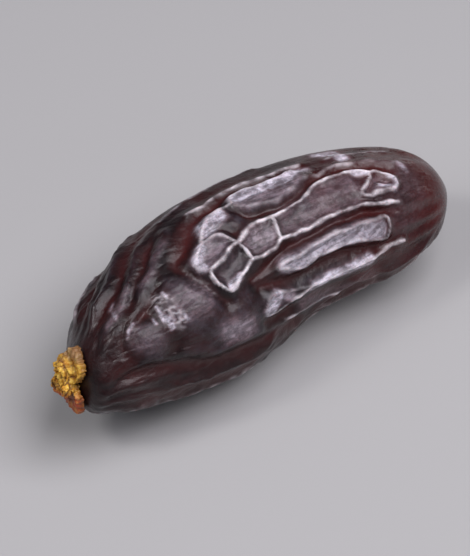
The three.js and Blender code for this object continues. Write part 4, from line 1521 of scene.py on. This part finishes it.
@dataclass(frozen=True)
class StemCap:
    """The dry cap at the stem end: three petals lapping over each other, and the corky cup over them.

    The cup's outline runs from its foot up its side, over its rim and in to the scar. The foot is given by
    radii and heights above its root, the side by how far it lies inside the cup's radius and by heights, and
    the rim and the scar by how far they lie inside and below their radius and height.
    """

    form: FruitForm
    finish: CapFinish
    husk: Husk = Husk()
    gap: float = 0.3
    under_gap: float = 0.04
    long_way: float = 17.0
    narrowing: float = 0.32
    petals: int = 3
    petal_root: float = 1.2
    petal_reach: float = 3.5
    petal_thickness: float = 0.6
    petal_turn: float = 100.0
    petal_half_spread: float = 52.0
    petal_lap: float = 0.4
    petal_curl: float = 0.15
    petal_corner: float = 0.36
    fray_depth: float = 0.035
    fray_waves: float = 7.0
    fray_shift: float = 2.0
    cup_radius: float = 2.1
    cup_height: float = 1.5
    cup_turn: float = 17.0
    cup_lobes: int = 3
    cup_lobe: float = 0.25
    cup_foot: tuple[Place, ...] = ((0.8, 0.0), (1.6, 0.05))
    cup_side: tuple[Place, ...] = ((0.15, 0.3), (0.0, 0.9))
    cup_rim: tuple[Place, ...] = ((0.2, 0.3), (0.65, 0.0), (1.05, 0.25))
    lobes_from: float = 1.0
    lobes_above: float = 0.6
    scar_radius: float = 0.8
    scar_height: float = 1.35
    scar_rim: tuple[Place, ...] = ((-0.15, 0.35), (0.15, 0.1), (0.5, 0.0))
    scar_dip: float = 0.1
    grain: float = 0.08
    beyond_cup: Span = (0.1, 0.5)
    hollow_shade_span: Span = (0.03, 0.3)
    shade: float = 0.8
    shade_span: Span = (0.4, 1.4)
    lower_span: Span = (0.3, 1.7)
    upper_span: Span = (1.9, 2.6)
    rows: int = 14
    columns: int = 40
    sides: int = 90

    def skin_depth(self, distance: np.ndarray) -> np.ndarray:
        """How far the fruit's end has fallen away from its middle.

        Args:
            distance: How far each place lies from the fruit's axis.

        Returns:
            The depth at each place.
        """
        station = np.arcsin((distance / self.form.stem_radius) ** (1.0 / self.form.stem_bluntness))
        dish = self.form.dish_depth * np.exp(-((distance / self.form.dish_radius) ** 2))
        return self.form.length * self.form.share_at(station) + dish

    def share_at(self, angle: np.ndarray) -> np.ndarray:
        """The share of its full reach that the cap has at each angle."""
        return 1.0 - self.narrowing * np.sin(angle - math.radians(self.long_way)) ** 2

    def petal(self, number: int) -> tuple[np.ndarray, Faces]:
        """One petal's points and faces.

        Args:
            number: Which petal it is, from 0.

        Returns:
            The points in the cap's own frame, and the faces.
        """
        middle = 2.0 * math.pi * number / self.petals + math.radians(self.petal_turn)
        row, column = np.meshgrid(np.arange(self.rows + 1), np.arange(self.columns + 1), indexing="ij")
        out, across = row / self.rows, 2.0 * column / self.columns - 1.0
        angle = middle + across * math.radians(self.petal_half_spread)
        frayed = self.fray_depth * np.sin(self.fray_waves * across + self.fray_shift * number)
        edge = self.petal_reach * self.share_at(angle) * (1.0 - self.petal_corner * across**4 + frayed)
        distance = self.petal_root + (edge - self.petal_root) * out
        raised = out * self.petal_lap * (across + 1.0) * 0.5 + self.petal_curl * out**3
        sheets = []
        for standing in (self.under_gap, self.gap + self.petal_thickness):
            height = raised + standing - self.skin_depth(distance)
            sheet = np.stack([distance * np.cos(angle), distance * np.sin(angle), height], -1)
            sheets.append(sheet.reshape(-1, 3))
        return np.vstack(sheets), plate_faces(self.rows, self.columns)

    def cup(self) -> tuple[np.ndarray, Faces]:
        """The cup's points and faces, from its underside over its rim and in to the scar.

        Returns:
            The points in the cap's own frame, and the faces.
        """
        root = self.under_gap - float(self.skin_depth(np.array(0.0)))
        outline = [(radius, root + height) for radius, height in self.cup_foot]
        outline += [(self.cup_radius - inset, height) for inset, height in self.cup_side]
        outline += [(self.cup_radius - inset, self.cup_height - drop) for inset, drop in self.cup_rim]
        outline += [(self.scar_radius - inset, self.scar_height - drop) for inset, drop in self.scar_rim]
        section = np.array(outline)
        wide, high = section[:, :1], section[:, 1:]
        crest = self.cup_radius - self.cup_rim[1][0]
        angle = 2.0 * math.pi * np.arange(self.sides) / self.sides
        waves = np.cos(self.cup_lobes * (angle - math.radians(self.cup_turn)))[None]
        lobes = fade(wide, self.lobes_from, crest) * waves
        out = (wide + self.cup_lobe * lobes) * self.share_at(angle)
        up = high + np.where(high > self.lobes_above, self.cup_lobe * lobes, 0.0)
        grid = np.stack([out * np.cos(angle), out * np.sin(angle), up], -1).reshape(-1, 3)
        points = np.vstack([[0.0, 0.0, root], grid, [0.0, 0.0, self.scar_height - self.scar_dip]])
        return points, tube_faces(len(section), self.sides)

    def build(self) -> bpy.types.Object:
        """Fuses the petals and the cup, and crumbles their surface.

        Returns:
            The cap, in place on the fruit.
        """
        points, faces = self.cup()
        for number in range(self.petals):
            more_points, more_faces = self.petal(number)
            faces += [tuple(len(points) + index for index in face) for face in more_faces]
            points = np.vstack([points, more_points])
        piece = mesh_object("date_stem_cap", points, faces)
        fuse = piece.modifiers.new("fuse", "REMESH")
        fuse.mode = "VOXEL"
        fuse.voxel_size = self.grain * MM
        evaluated = piece.evaluated_get(bpy.context.evaluated_depsgraph_get())
        fused = bpy.data.meshes.new_from_object(evaluated)
        piece.modifiers.clear()
        piece.data = fused
        keep_largest_shell(fused)
        self.crumble(fused)
        outward = Vector(-self.form.directions_at(0.0)[0])
        turn = Vector((0.0, 0.0, 1.0)).rotation_difference(outward).to_matrix().to_4x4()
        fused.transform(Matrix.Translation(Vector(self.form.axis_point(0.0)) * MM) @ turn)
        fused.shade_smooth()
        return piece

    def crumble(self, mesh: bpy.types.Mesh) -> None:
        """Turns the smooth husk into dry cork, paints shade into its hollows and near the fruit, and paints
        its lower tip and its upper lobe.

        Args:
            mesh: The cap's mesh in its own frame, which is changed.
        """
        count = len(mesh.vertices)
        points, normals = np.empty(count * 3), np.empty(count * 3)
        mesh.vertices.foreach_get("co", points)
        mesh.vertices.foreach_get("normal", normals)
        points, normals = points.reshape(-1, 3) / MM, normals.reshape(-1, 3)
        angle = np.arctan2(points[:, 1], points[:, 0])
        distance = np.hypot(points[:, 0], points[:, 1])
        on_petals = fade(distance, *(self.cup_radius + beyond for beyond in self.beyond_cup))
        rough = self.husk.height_at(points, angle, distance, on_petals)
        out = points + normals * rough[:, None]
        depth = self.skin_depth(np.hypot(out[:, 0], out[:, 1]))
        out[:, 2] = np.maximum(out[:, 2], self.under_gap - depth)
        mesh.vertices.foreach_set("co", (out * MM).reshape(-1))
        long_way = distance * np.cos(turn_between(angle, math.radians(self.long_way)))
        # Painted shade: darker low down near the fruit, and in the husk's hollows
        shaded = self.shade * (1.0 - fade(out[:, 2] + depth, *self.shade_span))
        store_paint(mesh, Paint.SHADED_HOLLOW, np.maximum(fade(-rough, *self.hollow_shade_span), shaded))
        store_paint(mesh, Paint.LOWER_TIP, fade(-long_way, *self.lower_span))
        store_paint(mesh, Paint.UPPER_LOBE, fade(long_way, *self.upper_span))
        mesh.update()

    def dress(self, piece: bpy.types.Object) -> None:
        """Gives the cap its husk and its place in the frame.

        Args:
            piece: The cap.
        """
        piece.data.materials.append(self.finish.build())
        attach(piece, ONE_BODY)
        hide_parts("stem_cap")


@dataclass(frozen=True)
class Stand:
    """Where a light or the camera stands: two angles in degrees, and its distance from the target in metres.

    At azimuth 0 it stands on the side of -Y, and at 90 on the side of +X.
    """

    azimuth: float
    elevation: float
    distance: float

    def put(self, item: bpy.types.Object, target: Vector) -> None:
        """Puts a light or the camera there, facing the target, and links it into the scene.

        Args:
            item: The light or the camera.
            target: The point that it faces, in metres.
        """
        turn, rise = math.radians(self.azimuth), math.radians(self.elevation)
        back = Vector((math.sin(turn) * math.cos(rise), -math.cos(turn) * math.cos(rise), math.sin(rise)))
        item.location = target + back * self.distance
        item.rotation_euler = (-back).to_track_quat("-Z", "Y").to_euler()
        bpy.context.scene.collection.objects.link(item)


@dataclass(frozen=True)
class Softbox:
    """A soft studio light: its name, where it stands, its width and height in metres, and its power."""

    name: str
    stand: Stand
    width: float
    height: float
    power: float
    colour: Colour

    def build(self, target: Vector) -> None:
        """Makes the light and turns it to a target.

        Args:
            target: The point that it shines at, in metres.
        """
        data = bpy.data.lights.new(self.name, "AREA")
        data.shape = "RECTANGLE"
        data.size, data.size_y = self.width, self.height
        data.energy = self.power
        data.color = self.colour
        self.stand.put(bpy.data.objects.new(self.name, data), target)


@dataclass(frozen=True)
class Studio:
    """The plain floor, the soft light and the camera. Its floor_reach and nearest are in metres."""

    floor_finish: FloorFinish
    floor_reach: float = 5.0
    aim: Point = (-0.4, 0.0, 8.0)
    lens: float = 260.0
    nearest: float = 0.005
    camera_stand: Stand = Stand(-35.0, 50.0, 0.40)
    softboxes: tuple[Softbox, ...] = (
        Softbox("key_softbox", Stand(35.0, 66.0, 0.36), 0.30, 0.26, 1.25, (0.96, 0.94, 1.0)),
        Softbox("side_softbox", Stand(-95.0, 50.0, 0.36), 0.20, 0.16, 0.24, (0.93, 0.93, 1.0)),
        Softbox("back_strip", Stand(118.0, 4.0, 0.30), 0.30, 0.012, 0.07, (1.0, 0.98, 0.97)),
        Softbox("small_window", Stand(-100.0, 56.0, 0.34), 0.06, 0.06, 0.2, (1.0, 0.97, 0.97)),
        Softbox("front_fill", Stand(10.0, 25.0, 0.45), 0.30, 0.20, 0.08, (0.95, 0.95, 1.0)),
    )
    surroundings: Colour = (0.07, 0.07, 0.085)

    def build(self) -> None:
        """Makes the floor, the lights and the camera."""
        corners = np.array([(-1.0, -1.0, 0.0), (1.0, -1.0, 0.0), (1.0, 1.0, 0.0), (-1.0, 1.0, 0.0)])
        floor = mesh_object("floor", self.floor_reach * corners / MM, [(0, 1, 2, 3)])
        floor.data.materials.append(self.floor_finish.build())
        target = Vector(self.aim) * MM
        for softbox in self.softboxes:
            softbox.build(target)
        world = bpy.data.worlds.new("studio")
        world.use_nodes = True
        world.node_tree.nodes["Background"].inputs["Color"].default_value = (*self.surroundings, 1.0)
        data = bpy.data.cameras.new("camera")
        data.lens = self.lens
        data.clip_start = self.nearest
        camera = bpy.data.objects.new("camera", data)
        self.camera_stand.put(camera, target)
        scene = bpy.context.scene
        scene.world = world
        scene.camera = camera
        scene.view_settings.view_transform = "Standard"


def main() -> None:
    """Builds the date and its studio."""
    logging.basicConfig(level=logging.INFO, format="%(message)s")
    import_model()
    form = FruitForm()
    wrinkles = Wrinkles(form, BackNet(form))
    for maker in (Fruit(form, wrinkles, SkinFinish()), StemCap(form, CapFinish())):
        piece = maker.build()
        maker.dress(piece)
        LOG.info("%s: %d points", piece.name, len(piece.data.vertices))
    Studio(FloorFinish()).build()
    bpy.context.view_layer.update()


if __name__ == "__main__":
    main()
